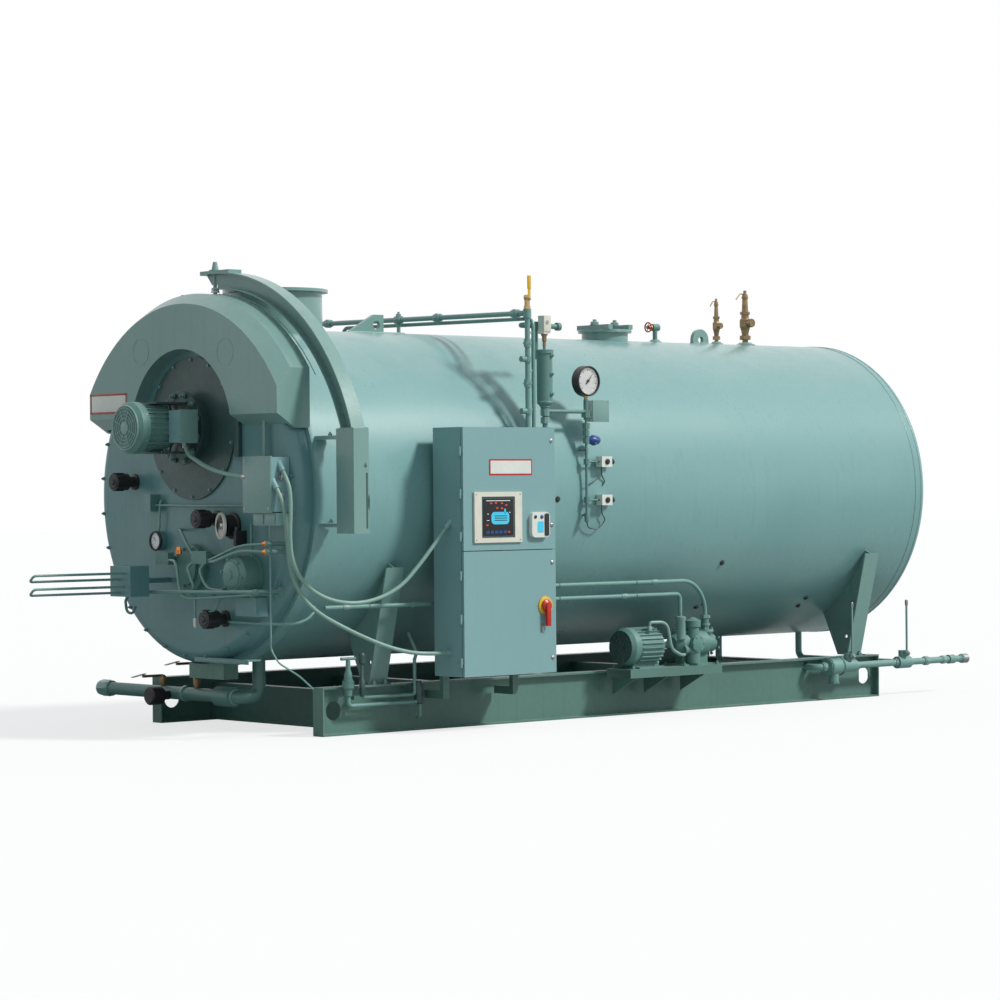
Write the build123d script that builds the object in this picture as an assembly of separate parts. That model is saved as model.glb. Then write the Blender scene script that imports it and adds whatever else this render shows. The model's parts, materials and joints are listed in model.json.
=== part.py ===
from build123d import *
import os
from math import atan2, cos, radians, sin, sqrt, tan

# A packaged fire-tube boiler on a steel skid. X runs from the burner end (-X)
# to the rear, Z up from the floor, and Y = 0 is the boiler's centre plane.
# The control side faces -Y. All sizes are in millimetres.

# Clearances and overruns
overrun = 20
seat_gap = 0.3
running_gap = 0.3

# Skid
rail_half_length = 2563
rail_outer_y = 923
rail_height = 305
rail_width = 102
rail_flange = 12
rail_web = 8
rail_end_plate = 10
lift_hole_r = 60
lift_hole_x = 2445
lift_hole_z = 155
cross_flange_width = 76
cross_flange = 11
cross_web = 8
cross_z = (0, 248)

# Boiler shell and heads
shell_r = 1073.5
shell_wall = 62
axis_z = 1510
shell_front_x = -2655
rear_x = 2932
rear_head_depth = 120
rear_knuckle = 60
front_ring_x = -2735
front_ring_stand = 24.5
front_ring_r = shell_r + front_ring_stand
door_face_x = -2870
door_knuckle = 75
rear_cover_r = 330
rear_cover_thickness = 25
rear_neck_r = 260
rear_neck_length = 45

# Saddles
front_saddle_x = -2070
rear_saddle_x = 2370
leg_plate = 12
leg_width = 140
leg_foot_y = 845
leg_top_y = 1030
leg_top_z = 1045
leg_inner_foot_y = 700
leg_inner_shell_y = 566
leg_hole_r = 13
leg_hole_y = 786
leg_hole_z = 440

# Inlet hood over the front head
hood_face_x = -2974
hood_back_x = -2720
hood_stand = 211.5
hood_r = shell_r + hood_stand
hood_half_width = 1020
hood_bottom_z = 1922
hood_bevel = 67
hood_bevel_depth = 105
hood_bottom_rise = 90
hood_bottom_depth = 140
hood_arch_r = 550
hood_arch_z = 1890
hood_door_gap = 4

# Fan, motor and terminal box
fan_z = 1938
fan_plate_r = 457
fan_plate_thickness = 14
fan_ring_r = 235
fan_ring_depth = 90
fan_bolt_r = 9
fan_bolt_circle_r = 210
fan_bolts = 12
fan_bolt_turn = 15
motor_r = 150
motor_front_x = -3394
motor_body_back_x = -3125
fan_cover_r = 163
fan_cover_length = 85
fan_cover_edge = 30
motor_bell_r = 120
motor_bell_length = 60
motor_shaft_r = 24
motor_fin = 5
motor_fin_height = 10
motor_fins = 28
bracket_plate = 12
bracket_width = 210
terminal_box_x = (-3165, -3030)
terminal_box_y = (-262, -150)
terminal_box_z = (1843, 2045)
terminal_neck = 80

# Davit
davit_clearance = 90
davit_inner_r = hood_r + davit_clearance
davit_drop = 55
davit_z = axis_z - davit_drop
davit_depth = 106
davit_width = 103
davit_flange = 9
davit_web = 7
davit_front_x = -2700
davit_start_angle = 91
davit_end_angle = 12
davit_plate = 14
davit_plate_y = (-160, 150)
davit_gusset = 60
post_z = (1270, 1912)
post_y = (-1425, -1253)
post_depth = 118
post_wall = 9
post_bracket = 22
post_bracket_z_shares = (0.06, 0.9)
hanger_y = 55
hanger_r = 13
hanger_nut_r = 24
hanger_nut = 24
hanger_tail = 28
hanger_washer_r = 40
hanger_washer = 8
hanger_ear = 44

# Flue outlet
flue_x = -2208
flue_r = 305
flue_wall = 6
flue_flange_r = 343
flue_flange = 20
flue_height = 256.5
flue_top_z = axis_z + shell_r + flue_height
flue_bolts = 16
flue_bolt_r = 8
flue_bolt_circle_r = 324

# Top fittings
lug_thickness = 30
front_lug_x = (-1650, -1315)
front_lug_height = 122
front_lug_hole_r = 30
rear_lug_x = (1590, 1748)
rear_lug_height = 105
rear_lug_hole_r = 26
manway_x = 722
manway_r = 165
manway_height = 52
manway_cover_r = 190
manway_cover = 22
yoke_spacing = 195
yoke_width = 40
yoke_height = 34
yoke_stud_r = 10
yoke_nut_r = 17
vent_x = 1218
vent_stand = 106.5
vent_z = axis_z + shell_r + vent_stand
vent_pipe_r = 17
vent_body_r = 26
vent_body_length = 62
vent_stem_r = 6
wheel_r = 38
wheel_rim_r = 5
wheel_hub_r = 9
wheel_gap = 46
wheel_spokes = 4
wheel_turn = 20
small_relief_x = 1845
small_relief_r = 27
small_relief_height = 335
large_relief_x = 2146
large_relief_r = 40
large_relief_height = 405

# Equalizing pipe over the shell, with its conduit
cross_x = -997
cross_stand = 31.5
cross_rise = 92.5
cross_fall = 26
cross_y = shell_r + cross_stand
cross_near_z = axis_z + shell_r + cross_rise
cross_far_z = cross_near_z + cross_fall
cross_pipe_r = 17
cross_bend = 40
cross_low_z = 1690
cross_nozzle_depth = 73.5
cross_nozzle_y = shell_r - cross_nozzle_depth
cross_post_y = 215
cross_post_r = 13
union_r = 27
union_length = 60
plug_r = 19
plug_reach = 58
plug_z = (2376, 2039)
cross_conduit_r = 13
cross_conduit_drop = 34
cross_conduit_step = 50
cross_conduit_bend = 110
cross_conduit_low_z = 1850
steam_branch_z = 2600
steam_branch_y = -1020
steam_branch_end_x = -640
test_valve_r = 18
test_valve_height = 90
test_stem_rise = 92
test_stem_z = cross_near_z + test_stem_rise
test_lever_length = 148
test_lever_width = 20
test_lever_thickness = 5

# Water column
column_x = -850
column_y = -cross_y
column_r = 52
column_z = (2066, 2440)
column_cap = 24
column_cap_r = 60
column_pipe_r = 17
column_cross_r = 27
column_cross_z = (2008, 2066)
column_low_z = 1750
column_head = (56, 56, 114)
column_head_z = 2544
column_stem_r = 9

# Gauge manifold
gauge_x = -485
gauge_y = -cross_y
gauge_z = 2241
gauge_r = 100
gauge_depth = 58
gauge_stem_r = 11
manifold_r = 17
manifold_thin_r = 9
manifold_z = (1323, 2120)
manifold_step_z = 1985
link_z = (2039, 1786)
link_r = 13
branch_r = 7
limit_box_x = (-455, -315)
limit_box_z = (1974, 2113)
limit_box_depth = 70
switch_x = 113
switch_size = (92, 60, 70)
switch_z = (1709, 1455)
blue_valve_z = 1851

# Control cabinet
cabinet_x = (-1810, -1036)
cabinet_z = (355, 1925)
cabinet_stand_off = 36.5
cabinet_back_y = -shell_r - cabinet_stand_off
cabinet_depth = 292
cabinet_sheet = 3
cabinet_lip = 26
cabinet_mid_z = 1145
door_thickness = 20
door_gap = 5
door_seam = 6
hinge_pin_r = 5
hinge_barrel_r = 9
hinge_length = 60
hinge_count = 3
hinge_leaf_share = 1 / 3
plate_margin = 50
plate_thickness = 3
plate_stand = 20
plate_stud_r = 6
stand_width = 50
stand_x_shares = (0.12, 0.88)
screen_bezel_x = (-1729, -1331)
screen_bezel_z = (1196, 1516)
screen_bezel = 14
screen_recess = 5
screen_margin = 60
switch_disc_r = 45
switch_disc = 10
switch_handle_length = 130
switch_handle_width = 30
switch_handle_depth = 26
switch_grip_share = 1 / 3
switch_boss_r = 18
switch_centre_x = -1130
switch_centre_z = 786

# Junction box on the front head
jbox_depth = 135
jbox_x = (door_face_x - jbox_depth, door_face_x)
jbox_y = (-1000, -724)
jbox_z = (1406, 1742)
jbox_lid = 6
relay_size = (100, 112, 78)

# Fuel equipment on the front head
burner_r = 150
burner_z = 1050
burner_depth = 45
burner_step_r = 105
burner_step = 25
control_block_x = (-3010, -2965)
control_block_y = ((95, 231), (-318, -158))
control_block_z = ((1069, 1147), (1080, 1160))
housing_r = 118
housing_rim_r = 128
housing_rim = 22
housing_depth = 160
housing_y = -614
housing_z = 1016
block_x = (-3255, -3110)
block_y = (160, 385)
block_z = (870, 1065)
loop_r = 8
loop_reach = 670
loop_span = 85
loop_pitch = 100
loop_gap = 77
low_box_depth = 90
low_box_x = (door_face_x - low_box_depth, door_face_x)
low_box_y = (-770, -560)
low_box_z = (758, 875)
port_r = 55
port_length = 100
port_neck_r = 34
port_neck = 70
port_places = ((655, 1601), (-250, 1362), (-330, 733))
door_gauge_r = 62
door_gauge_depth = 40
door_gauge_place = (360, 1218)
small_box = (70, 90, 110)
small_box_place = (430, 1463)

# Flexible conduits that hang between the front head and the cabinet. Each route
# starts at a gland on the junction box and ends at one on the cabinet's side.
conduit_r = 13
conduit_turn_share = 0.45
gland_r = 19
gland_root = 12
upper_route = [
    (-2940, -1030, 1655),
    (-2939, -1064, 1610),
    (-2937, -1098, 1540),
    (-2945, -1114, 1420),
    (-2953, -1110, 1250),
    (-2930, -1104, 1095),
    (-2850, -1101, 972),
    (-2718, -1121, 877),
    (-2540, -1149, 832),
    (-2350, -1178, 846),
    (-2165, -1207, 925),
    (-2040, -1226, 1050),
    (-1928, -1244, 1178),
    (-1838, -1259, 1288),
]
lower_route = [
    (-2984, -1024, 1548),
    (-2979, -1051, 1507),
    (-2968, -1068, 1450),
    (-2950, -1066, 1370),
    (-2930, -1052, 1270),
    (-2915, -1043, 1150),
    (-2889, -1045, 1005),
    (-2822, -1068, 870),
    (-2716, -1098, 772),
    (-2560, -1132, 688),
    (-2375, -1165, 603),
    (-2190, -1200, 536),
    (-2010, -1234, 503),
    (-1850, -1262, 505),
]

# Oil pump set
pump_y = -1040
pump_base_x = (-150, 710)
pump_base_y = (-1160, -923)
pump_base_z = (262, 322)
pump_base_wall = 8
pump_axis_z = 466
pump_motor_x = (-125, 205)
pump_motor_r = 130
pump_body_x = (345, 725)
pump_body_r = 88
pump_port_r = 26
pump_port_x = (431, 670)
pump_port_z = 654
pump_bracket_x_shares = (0.06, 0.4, 0.8)
pump_bracket = 10

# Side pipes between the pump set and the front
side_pipe_r = 14
side_upper_z = 897
side_lower_z = 809
side_y = side_pipe_r - shell_r
side_front_x = -2650
side_join_x = -1400
side_bend = 420
side_sweep = 225
side_elbow = 40

# Blowdown
blow_y = -1000
blow_z = 243
blow_r = 24
blow_bore_r = 20
blow_bore_depth = 80
blow_front_x = 1840
blow_rear_x = 2690
blow_end_x = 3440
blow_coupling_shares = (0.0, 0.09)
blow_valve_r = 44
blow_valve_length = 130
blow_neck_r = 31
blow_stem_rise = 66
blow_bend = 60
quick_valve_x = (1925, 2075)
quick_valve_r = 60
quick_bonnet_r = 34
quick_bonnet = 112
lever_front_x = 2150
lever_rear_x = 2735
lever_length = 390
lever_r = 8
lever_hub_r = 22
lever_hub_length = 20
lever_stem_r = 10
lever_stem_length = 34
coupling_r = 33
coupling_length = 60

# Front drain pipe
drain_x = -2690
drain_z = 222
drain_r = 42
drain_turn_x = -2540
drain_cap_r = 50
drain_cap = 100
drain_elbow_r = 64
drain_elbow = 170
drain_bend = 60
drain_far_y = 1330
drain_elbow_y = -230
tray_x = (-2855, -2740)
tray_y = (-280, 90)
tray_drop = 92
tray_height = 126
tray_z = (axis_z - shell_r - tray_drop, axis_z - shell_r - tray_drop + tray_height)

shell_axis = (0, 0, axis_z)


# Helpers


def spread(middle, width):
    """The limits of a width about its middle."""
    return middle - width / 2, middle + width / 2


def widened(span, amount):
    """Limits moved out at both ends, or in where the amount is negative."""
    return span[0] - amount, span[1] + amount


def block(x_span, y_span, z_span):
    """A box between its low and high limits."""
    (x0, x1), (y0, y1), (z0, z1) = x_span, y_span, z_span
    centre = Pos((x0 + x1) / 2, (y0 + y1) / 2, (z0 + z1) / 2)
    return centre * Box(abs(x1 - x0), abs(y1 - y0), abs(z1 - z0))


def rod(start, end, radius):
    """A round bar between two points."""
    axis = Vector(*end) - Vector(*start)
    bar = Cylinder(radius, axis.length, align=(Align.CENTER, Align.CENTER, Align.MIN))
    return Plane(origin=start, z_dir=axis) * bar


def tube(start, end, outer, inner):
    """A round tube between two points, open at both ends."""
    axis = (Vector(*end) - Vector(*start)).normalized() * overrun
    low = Vector(*start) - axis
    high = Vector(*end) + axis
    return rod(start, end, outer) - rod(tuple(low), tuple(high), inner)


def bent(points, radius, bend):
    """A pipe along straight runs joined by tangent arcs."""
    path = FilletPolyline(*points, radius=bend)
    return sweep(Plane(origin=path @ 0, z_dir=path % 0) * Circle(radius), path=path)


def turned_x(points, centre_z):
    """A profile of (x, radius) points turned about the axis along X at y = 0."""
    profile = make_face(Polyline(*[(x, 0, r) for x, r in points], close=True))
    return Pos(0, 0, centre_z) * revolve(profile, axis=Axis.X)


def turned_z(points, x, y, z):
    """A profile of (radius, height) points turned about an upright axis."""
    profile = make_face(Polyline(*[(r, 0, h) for r, h in points], close=True))
    return Pos(x, y, z) * revolve(profile, axis=Axis.Z)


def shell_body(radius):
    """The round space of the boiler, longer than the part at both ends."""
    reach = 2 * (rear_x - door_face_x)
    return rod((-reach, 0, axis_z), (reach, 0, axis_z), radius)


def off_shell(piece):
    """The part of a piece that lies outside the jacket."""
    return piece - shell_body(shell_r)


def shell_top(y):
    """Height of the jacket's upper side at a distance from the centre plane."""
    return axis_z + sqrt(shell_r**2 - y**2)


def around(count, radius, start=0):
    """Points of a bolt circle as (angle in degrees, first, second) values."""
    turn = 360 / count
    spots = [start + turn * i for i in range(round(count))]
    return [(a, radius * cos(radians(a)), radius * sin(radians(a))) for a in spots]


# Skid


def i_section(width, height, flange, web):
    """A wide-flange section centred on the origin."""
    beam = Rectangle(width, height)
    side = (width - web) / 2
    for way in (-1, 1):
        y = way * (web + side) / 2
        beam -= Pos(y, 0) * Rectangle(side, height - 2 * flange)
    return beam


def skid_rail(side):
    """One wide-flange rail with plated ends and a lifting hole near each end."""
    y = side * (rail_outer_y - rail_width / 2)
    section = i_section(rail_width, rail_height, rail_flange, rail_web)
    start = Plane(
        origin=(-rail_half_length, y, rail_height / 2),
        x_dir=(0, 1, 0),
        z_dir=(1, 0, 0),
    )
    rail = extrude(start * section, amount=2 * rail_half_length)
    half = rail_width / 2
    for end in (-1, 1):
        outer = end * rail_half_length
        inner = outer - end * rail_end_plate
        span = (min(outer, inner), max(outer, inner))
        rail += block(span, (y - half, y + half), (0, rail_height))
        x = end * lift_hole_x
        rail -= rod((x, y - half, lift_hole_z), (x, y + half, lift_hole_z), lift_hole_r)
    if side < 0:
        rail -= rod((blow_front_x, y - half, blow_z), (blow_front_x, y + half, blow_z), coupling_r)
    return rail


def crossmember(x, way):
    """A channel between the rails' webs, coped over their lower flanges, opening along way."""
    reach = rail_outer_y - (rail_width + rail_web) / 2
    flange_y = rail_outer_y - rail_width
    span = sorted((x, x + way * cross_flange_width))
    cut = sorted((x + way * cross_web, x + way * (cross_flange_width + overrun)))
    inner_z = (cross_z[0] + cross_flange, cross_z[1] - cross_flange)
    channel = block(span, (-reach, reach), cross_z) - block(cut, (-reach, reach), inner_z)
    for side in (-1, 1):
        cope_y = sorted((side * flange_y, side * (reach + overrun)))
        channel -= block(widened(span, overrun), cope_y, (-overrun, rail_flange + seat_gap))
    return channel


def skid_crossmembers():
    """All cross channels of the skid."""
    half = cross_flange_width / 2
    places = [
        (front_saddle_x - half, 1),
        (-half, 1),
        (rear_saddle_x + half, -1),
    ]
    middle_x = (front_saddle_x / 2, rear_saddle_x / 2)
    places += [(x - half, 1) for x in middle_x]
    return Compound(children=[crossmember(x, way) for x, way in places])


# Saddles


def saddle_leg(x, side):
    """A leaning leg: a web plate against the shell with a wide outer strip."""
    foot = (side * leg_foot_y, rail_height)
    top = (side * leg_top_y, leg_top_z)
    lean = atan2(leg_top_z - axis_z, leg_top_y)
    core_share = 0.9
    inside = (
        side * shell_r * core_share * cos(lean),
        axis_z + shell_r * core_share * sin(lean),
    )
    inner_foot = (side * leg_inner_foot_y, rail_height)
    meet_z = axis_z - sqrt(shell_r**2 - leg_inner_shell_y**2)
    rise_share = 1.3
    deep = (
        side * (leg_inner_foot_y + (leg_inner_shell_y - leg_inner_foot_y) * rise_share),
        rail_height + (meet_z - rail_height) * rise_share,
    )
    outline = Polyline(
        *[(0, y, z) for y, z in (foot, top, inside, deep, inner_foot)], close=True
    )
    web = Pos(x - leg_plate / 2, 0, 0) * extrude(make_face(outline), amount=leg_plate, dir=(1, 0, 0))
    out = side * leg_plate
    strip_points = (foot, top, (top[0] + out, top[1]), (foot[0] + out, foot[1]))
    strip_line = Polyline(*[(0, y, z) for y, z in strip_points], close=True)
    strip = extrude(make_face(strip_line), amount=leg_width, dir=(1, 0, 0))
    leg = off_shell(web + Pos(x - leg_width / 2, 0, 0) * strip)
    y = side * leg_hole_y
    return leg - rod((x - leg_width, y, leg_hole_z), (x + leg_width, y, leg_hole_z), leg_hole_r)


def saddle(x):
    """The pair of legs under one end of the shell."""
    return Compound(children=[saddle_leg(x, side) for side in (-1, 1)])


# Shell and heads


def shell():
    """The jacketed shell, open at the flue."""
    back_x = rear_x - rear_head_depth
    body = rod((shell_front_x, 0, axis_z), (back_x, 0, axis_z), shell_r)
    body -= shell_body(shell_r - shell_wall)
    bore = flue_r - flue_wall
    return body - rod((flue_x, 0, axis_z), (flue_x, 0, flue_top_z), bore)


def front_ring():
    """The bolted ring between the shell and the front head, with the davit's ear on top."""
    ring = turned_x(
        [
            (front_ring_x, 0),
            (front_ring_x, front_ring_r),
            (shell_front_x, front_ring_r),
            (shell_front_x, 0),
        ],
        axis_z,
    )
    x = davit_front_x + davit_width / 2
    top = axis_z + front_ring_r + hanger_ear
    half = hanger_ear
    ear_y = (hanger_y - half, hanger_y + half)
    ear = block((hood_back_x + hood_door_gap, x + half / 2), ear_y, (axis_z + shell_r, top))
    back_y = (hanger_y - 2 * half, hanger_y + 2 * half)
    back = block((shell_front_x, x + half), back_y, (axis_z, axis_z + shell_r + half / 2))
    return ring + (ear - back)


def front_door():
    """The front head: a flat face with a rounded edge."""
    flat_r = shell_r - door_knuckle
    edge_x = door_face_x + door_knuckle
    mid_share = sin(radians(45))
    face = Line((door_face_x, 0, 0), (door_face_x, 0, flat_r))
    knuckle = ThreePointArc(
        (door_face_x, 0, flat_r),
        (edge_x - door_knuckle * mid_share, 0, flat_r + door_knuckle * mid_share),
        (edge_x, 0, shell_r),
    )
    rest = Polyline((edge_x, 0, shell_r), (front_ring_x, 0, shell_r), (front_ring_x, 0, 0))
    base = Line((front_ring_x, 0, 0), (door_face_x, 0, 0))
    profile = make_face([face, knuckle, *rest.edges(), base])
    return Pos(*shell_axis) * revolve(profile, axis=Axis.X)


def rear_head():
    """The rear head: a flat plate with a rounded edge."""
    front_x = rear_x - rear_head_depth
    flat_r = shell_r - rear_knuckle
    edge_x = rear_x - rear_knuckle
    mid_share = sin(radians(45))
    face = Line((rear_x, 0, 0), (rear_x, 0, flat_r))
    knuckle = ThreePointArc(
        (rear_x, 0, flat_r),
        (edge_x + rear_knuckle * mid_share, 0, flat_r + rear_knuckle * mid_share),
        (edge_x, 0, shell_r),
    )
    rest = Polyline((edge_x, 0, shell_r), (front_x, 0, shell_r), (front_x, 0, 0))
    base = Line((front_x, 0, 0), (rear_x, 0, 0))
    profile = make_face([face, knuckle, *rest.edges(), base])
    return Pos(*shell_axis) * revolve(profile, axis=Axis.X)


def rear_cover():
    """The round access cover on the rear head."""
    neck_x = rear_x + rear_neck_length
    return turned_x(
        [
            (rear_x, 0),
            (rear_x, rear_neck_r),
            (neck_x, rear_neck_r),
            (neck_x, rear_cover_r),
            (neck_x + rear_cover_thickness, rear_cover_r),
            (neck_x + rear_cover_thickness, 0),
        ],
        axis_z,
    )


# Inlet hood


def hood_blank():
    """The hood's arched body, turned about the boiler's axis, with its bevelled front edge."""
    bevel_x = hood_face_x + hood_bevel_depth
    return turned_x(
        [
            (hood_face_x, 0),
            (hood_face_x, hood_r - hood_bevel),
            (bevel_x, hood_r),
            (hood_back_x, hood_r),
            (hood_back_x, 0),
        ],
        axis_z,
    )


def hood():
    """The inlet hood: an arched casing with flat sides and a sloping lower front edge."""
    front_x = hood_face_x - overrun
    slope_x = hood_face_x + hood_bottom_depth
    reach_x = hood_back_x + overrun
    top_z = axis_z + hood_r + overrun
    points = [
        (hood_face_x, 0, hood_bottom_z + hood_bottom_rise),
        (slope_x, 0, hood_bottom_z),
        (reach_x, 0, hood_bottom_z),
        (reach_x, 0, top_z),
        (front_x, 0, top_z),
        (front_x, 0, hood_bottom_z + hood_bottom_rise),
    ]
    side = make_face(Polyline(*points, close=True))
    slab = Pos(0, hood_half_width, 0) * extrude(side, amount=2 * hood_half_width, dir=(0, -1, 0))
    casing = hood_blank() & slab
    casing -= rod((front_x, 0, hood_arch_z), (reach_x, 0, hood_arch_z), hood_arch_r)
    casing -= rod((door_face_x, 0, axis_z), (reach_x, 0, axis_z), shell_r + hood_door_gap)
    ring_x = front_ring_x - hood_door_gap
    return casing - rod((ring_x, 0, axis_z), (reach_x, 0, axis_z), front_ring_r + hood_door_gap)


# Fan and motor


def fan_plate():
    """The round plate that carries the fan, with its bolted mounting ring."""
    plate_x = door_face_x - fan_plate_thickness
    ring_x = plate_x - fan_ring_depth
    plate = turned_x(
        [
            (door_face_x, 0),
            (door_face_x, fan_plate_r),
            (plate_x, fan_plate_r),
            (plate_x, fan_ring_r - fan_ring_depth / 2),
            (ring_x + fan_plate_thickness, fan_ring_r - fan_ring_depth / 2),
            (ring_x + fan_plate_thickness, fan_ring_r),
            (ring_x, fan_ring_r),
            (ring_x, 0),
        ],
        fan_z,
    )
    for _, y, z in around(fan_bolts, fan_bolt_circle_r, fan_bolt_turn):
        head = (ring_x - fan_bolt_r, y, fan_z + z)
        plate += rod(head, (ring_x + fan_plate_thickness, y, fan_z + z), fan_bolt_r)
    return plate


def blower_motor():
    """The finned motor, its fan cover and its shaft end."""
    cover_back = motor_front_x + fan_cover_length
    bell_back = motor_body_back_x + motor_bell_length
    ring_x = door_face_x - fan_plate_thickness - fan_ring_depth
    core = motor_r - motor_fin_height
    motor = turned_x(
        [
            (motor_front_x, 0),
            (motor_front_x, fan_cover_r - fan_cover_edge),
            (motor_front_x + fan_cover_edge, fan_cover_r),
            (cover_back, fan_cover_r),
            (cover_back, core),
            (motor_body_back_x, core),
            (bell_back, motor_bell_r),
            (bell_back, motor_shaft_r),
            (ring_x, motor_shaft_r),
            (ring_x, 0),
        ],
        fan_z,
    )
    for angle, _, _ in around(motor_fins, motor_r):
        fin = block(
            (cover_back, motor_body_back_x),
            (-motor_fin / 2, motor_fin / 2),
            (core - motor_fin_height, motor_r),
        )
        motor += Pos(0, 0, fan_z) * Rot(angle, 0, 0) * fin
    neck_x = (terminal_box_x[0], terminal_box_x[0] + terminal_neck)
    neck_z = (fan_z - terminal_neck / 2, fan_z + terminal_neck / 2)
    return motor + block(neck_x, (terminal_box_y[1], -motor_shaft_r), neck_z)


def motor_bracket():
    """Two arms from the fan ring that hold the motor above and below."""
    ring_x = door_face_x - fan_plate_thickness - fan_ring_depth
    half = bracket_width / 2
    arms = []
    for way in (-1, 1):
        inner = fan_z + way * (motor_r + seat_gap)
        outer = inner + way * bracket_plate
        arms.append(block((motor_body_back_x - half, ring_x), (-half, half), sorted((inner, outer))))
    return arms


def terminal_box():
    """The motor's wiring box beside the bracket."""
    return block(terminal_box_x, terminal_box_y, terminal_box_z)


# Davit


def davit_arm():
    """A wide-flange beam bent round the shell, with the hanger's plate on its end."""
    middle_r = davit_inner_r + davit_depth / 2
    outer_r = davit_inner_r + davit_depth
    middle_x = davit_front_x + davit_width / 2
    start = radians(davit_start_angle)
    origin = (middle_x, -middle_r * cos(start), davit_z + middle_r * sin(start))
    section = i_section(davit_width, davit_depth, davit_flange, davit_web)
    along = (0, -sin(start), -cos(start))
    plane = Plane(origin=origin, x_dir=(-1, 0, 0), z_dir=along)
    axis = Axis((0, 0, davit_z), (1, 0, 0))
    turn = davit_start_angle - davit_end_angle
    arm = revolve(plane * section, axis=axis, revolution_arc=turn)
    x_span = (davit_front_x, davit_front_x + davit_width)
    arm -= block(widened(x_span, overrun), (-outer_r, 0), (davit_z, post_z[1] + seat_gap))
    top = davit_z + outer_r
    plate = block(x_span, davit_plate_y, (top - davit_plate, top + davit_plate))
    near_x, far_x = widened(x_span, overrun)
    plate -= rod((near_x, 0, davit_z), (far_x, 0, davit_z), outer_r - davit_flange / 2)
    low = top - davit_plate - davit_gusset
    points = [
        (0, davit_plate_y[1], top),
        (0, hanger_y + davit_gusset / 2, low),
        (0, -davit_flange, low),
        (0, -davit_flange, top),
    ]
    gusset = extrude(make_face(Polyline(*points, close=True)), amount=davit_web, dir=(1, 0, 0))
    piece = arm + plate + Pos(middle_x - davit_web / 2, 0, 0) * gusset
    hole_top = top + davit_plate + overrun
    hole_r = hanger_r + running_gap
    return piece - rod((middle_x, hanger_y, low - overrun), (middle_x, hanger_y, hole_top), hole_r)


def davit_post():
    """The box post beside the shell that carries the arm, with its brackets."""
    x_span = (davit_front_x, davit_front_x + post_depth)
    post = block(x_span, post_y, post_z)
    hollow_z = (post_z[0] - overrun, post_z[1] - post_wall)
    post -= block(widened(x_span, -post_wall), widened(post_y, -post_wall), hollow_z)
    height = post_z[1] - post_z[0]
    for share in post_bracket_z_shares:
        z = post_z[0] + share * height
        post += block(x_span, (post_y[1], 0), (z, z + post_bracket))
    return post - shell_body(front_ring_r + seat_gap)


def davit_hanger():
    """The threaded rod that hangs the front head from the arm."""
    x = davit_front_x + davit_width / 2
    top = davit_z + davit_inner_r + davit_depth + davit_plate
    low = axis_z + front_ring_r + hanger_ear
    nut_low = top + hanger_washer
    hanger = rod((x, hanger_y, low), (x, hanger_y, nut_low + hanger_nut), hanger_r)
    hanger += rod((x, hanger_y, top), (x, hanger_y, nut_low), hanger_washer_r)
    upright = (Align.CENTER, Align.CENTER, Align.MIN)
    nut = Cone(hanger_nut_r, hanger_r, hanger_nut + hanger_tail, align=upright)
    return hanger + Pos(x, hanger_y, nut_low) * nut


# Flue outlet and top fittings


def flue_outlet():
    """The flue stub with its drilled flange."""
    stub = tube((flue_x, 0, axis_z), (flue_x, 0, flue_top_z), flue_r, flue_r - flue_wall)
    low = flue_top_z - flue_flange
    stub += tube((flue_x, 0, low), (flue_x, 0, flue_top_z), flue_flange_r, flue_r - flue_wall)
    for _, x, y in around(flue_bolts, flue_bolt_circle_r):
        spot = (flue_x + x, y)
        stub -= rod((*spot, low - overrun), (*spot, flue_top_z + overrun), flue_bolt_r)
    return off_shell(stub)


def lifting_lugs():
    """The front lug with its sloping back and the rounded rear lug."""
    low = shell_top(lug_thickness / 2) - overrun
    x0, x1 = front_lug_x
    top = shell_top(0) + front_lug_height
    head_share, hole_share = 0.24, 0.42
    head_x = x1 - (x1 - x0) * head_share
    points = [(x0, 0, low), (head_x, 0, top), (x1, 0, top), (x1, 0, low)]
    face = make_face(Polyline(*points, close=True))
    lug = Pos(0, lug_thickness / 2, 0) * extrude(face, amount=lug_thickness, dir=(0, -1, 0))
    hole_z = shell_top(0) + front_lug_height * hole_share
    hole_x = x1 - 2 * front_lug_hole_r
    lug -= rod((hole_x, -lug_thickness, hole_z), (hole_x, lug_thickness, hole_z), front_lug_hole_r)
    x0, x1 = rear_lug_x
    half = (x1 - x0) / 2
    middle = x0 + half
    crown = shell_top(0) + rear_lug_height - half
    eye = rod((middle, -lug_thickness / 2, crown), (middle, lug_thickness / 2, crown), half)
    eye += block(rear_lug_x, (-lug_thickness / 2, lug_thickness / 2), (low, crown))
    eye -= rod((middle, -lug_thickness, crown), (middle, lug_thickness, crown), rear_lug_hole_r)
    return Compound(children=[off_shell(lug), off_shell(eye)])


def manway():
    """The low manway neck, its cover and the two yokes."""
    low = shell_top(0)
    neck_top = low + manway_height
    body = rod((manway_x, 0, axis_z), (manway_x, 0, neck_top), manway_r)
    cover_top = neck_top + manway_cover
    body += rod((manway_x, 0, neck_top), (manway_x, 0, cover_top), manway_cover_r)
    for way in (-1, 1):
        x = manway_x + way * yoke_spacing / 2
        span = (x - yoke_width / 2, x + yoke_width / 2)
        body += block(span, (-manway_r, manway_r), (cover_top, cover_top + yoke_height))
        stud_top = cover_top + 2 * yoke_height
        body += rod((x, 0, cover_top), (x, 0, stud_top), yoke_stud_r)
        body += rod((x, 0, cover_top), (x, 0, stud_top - yoke_nut_r), yoke_nut_r)
    return off_shell(body)


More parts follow.
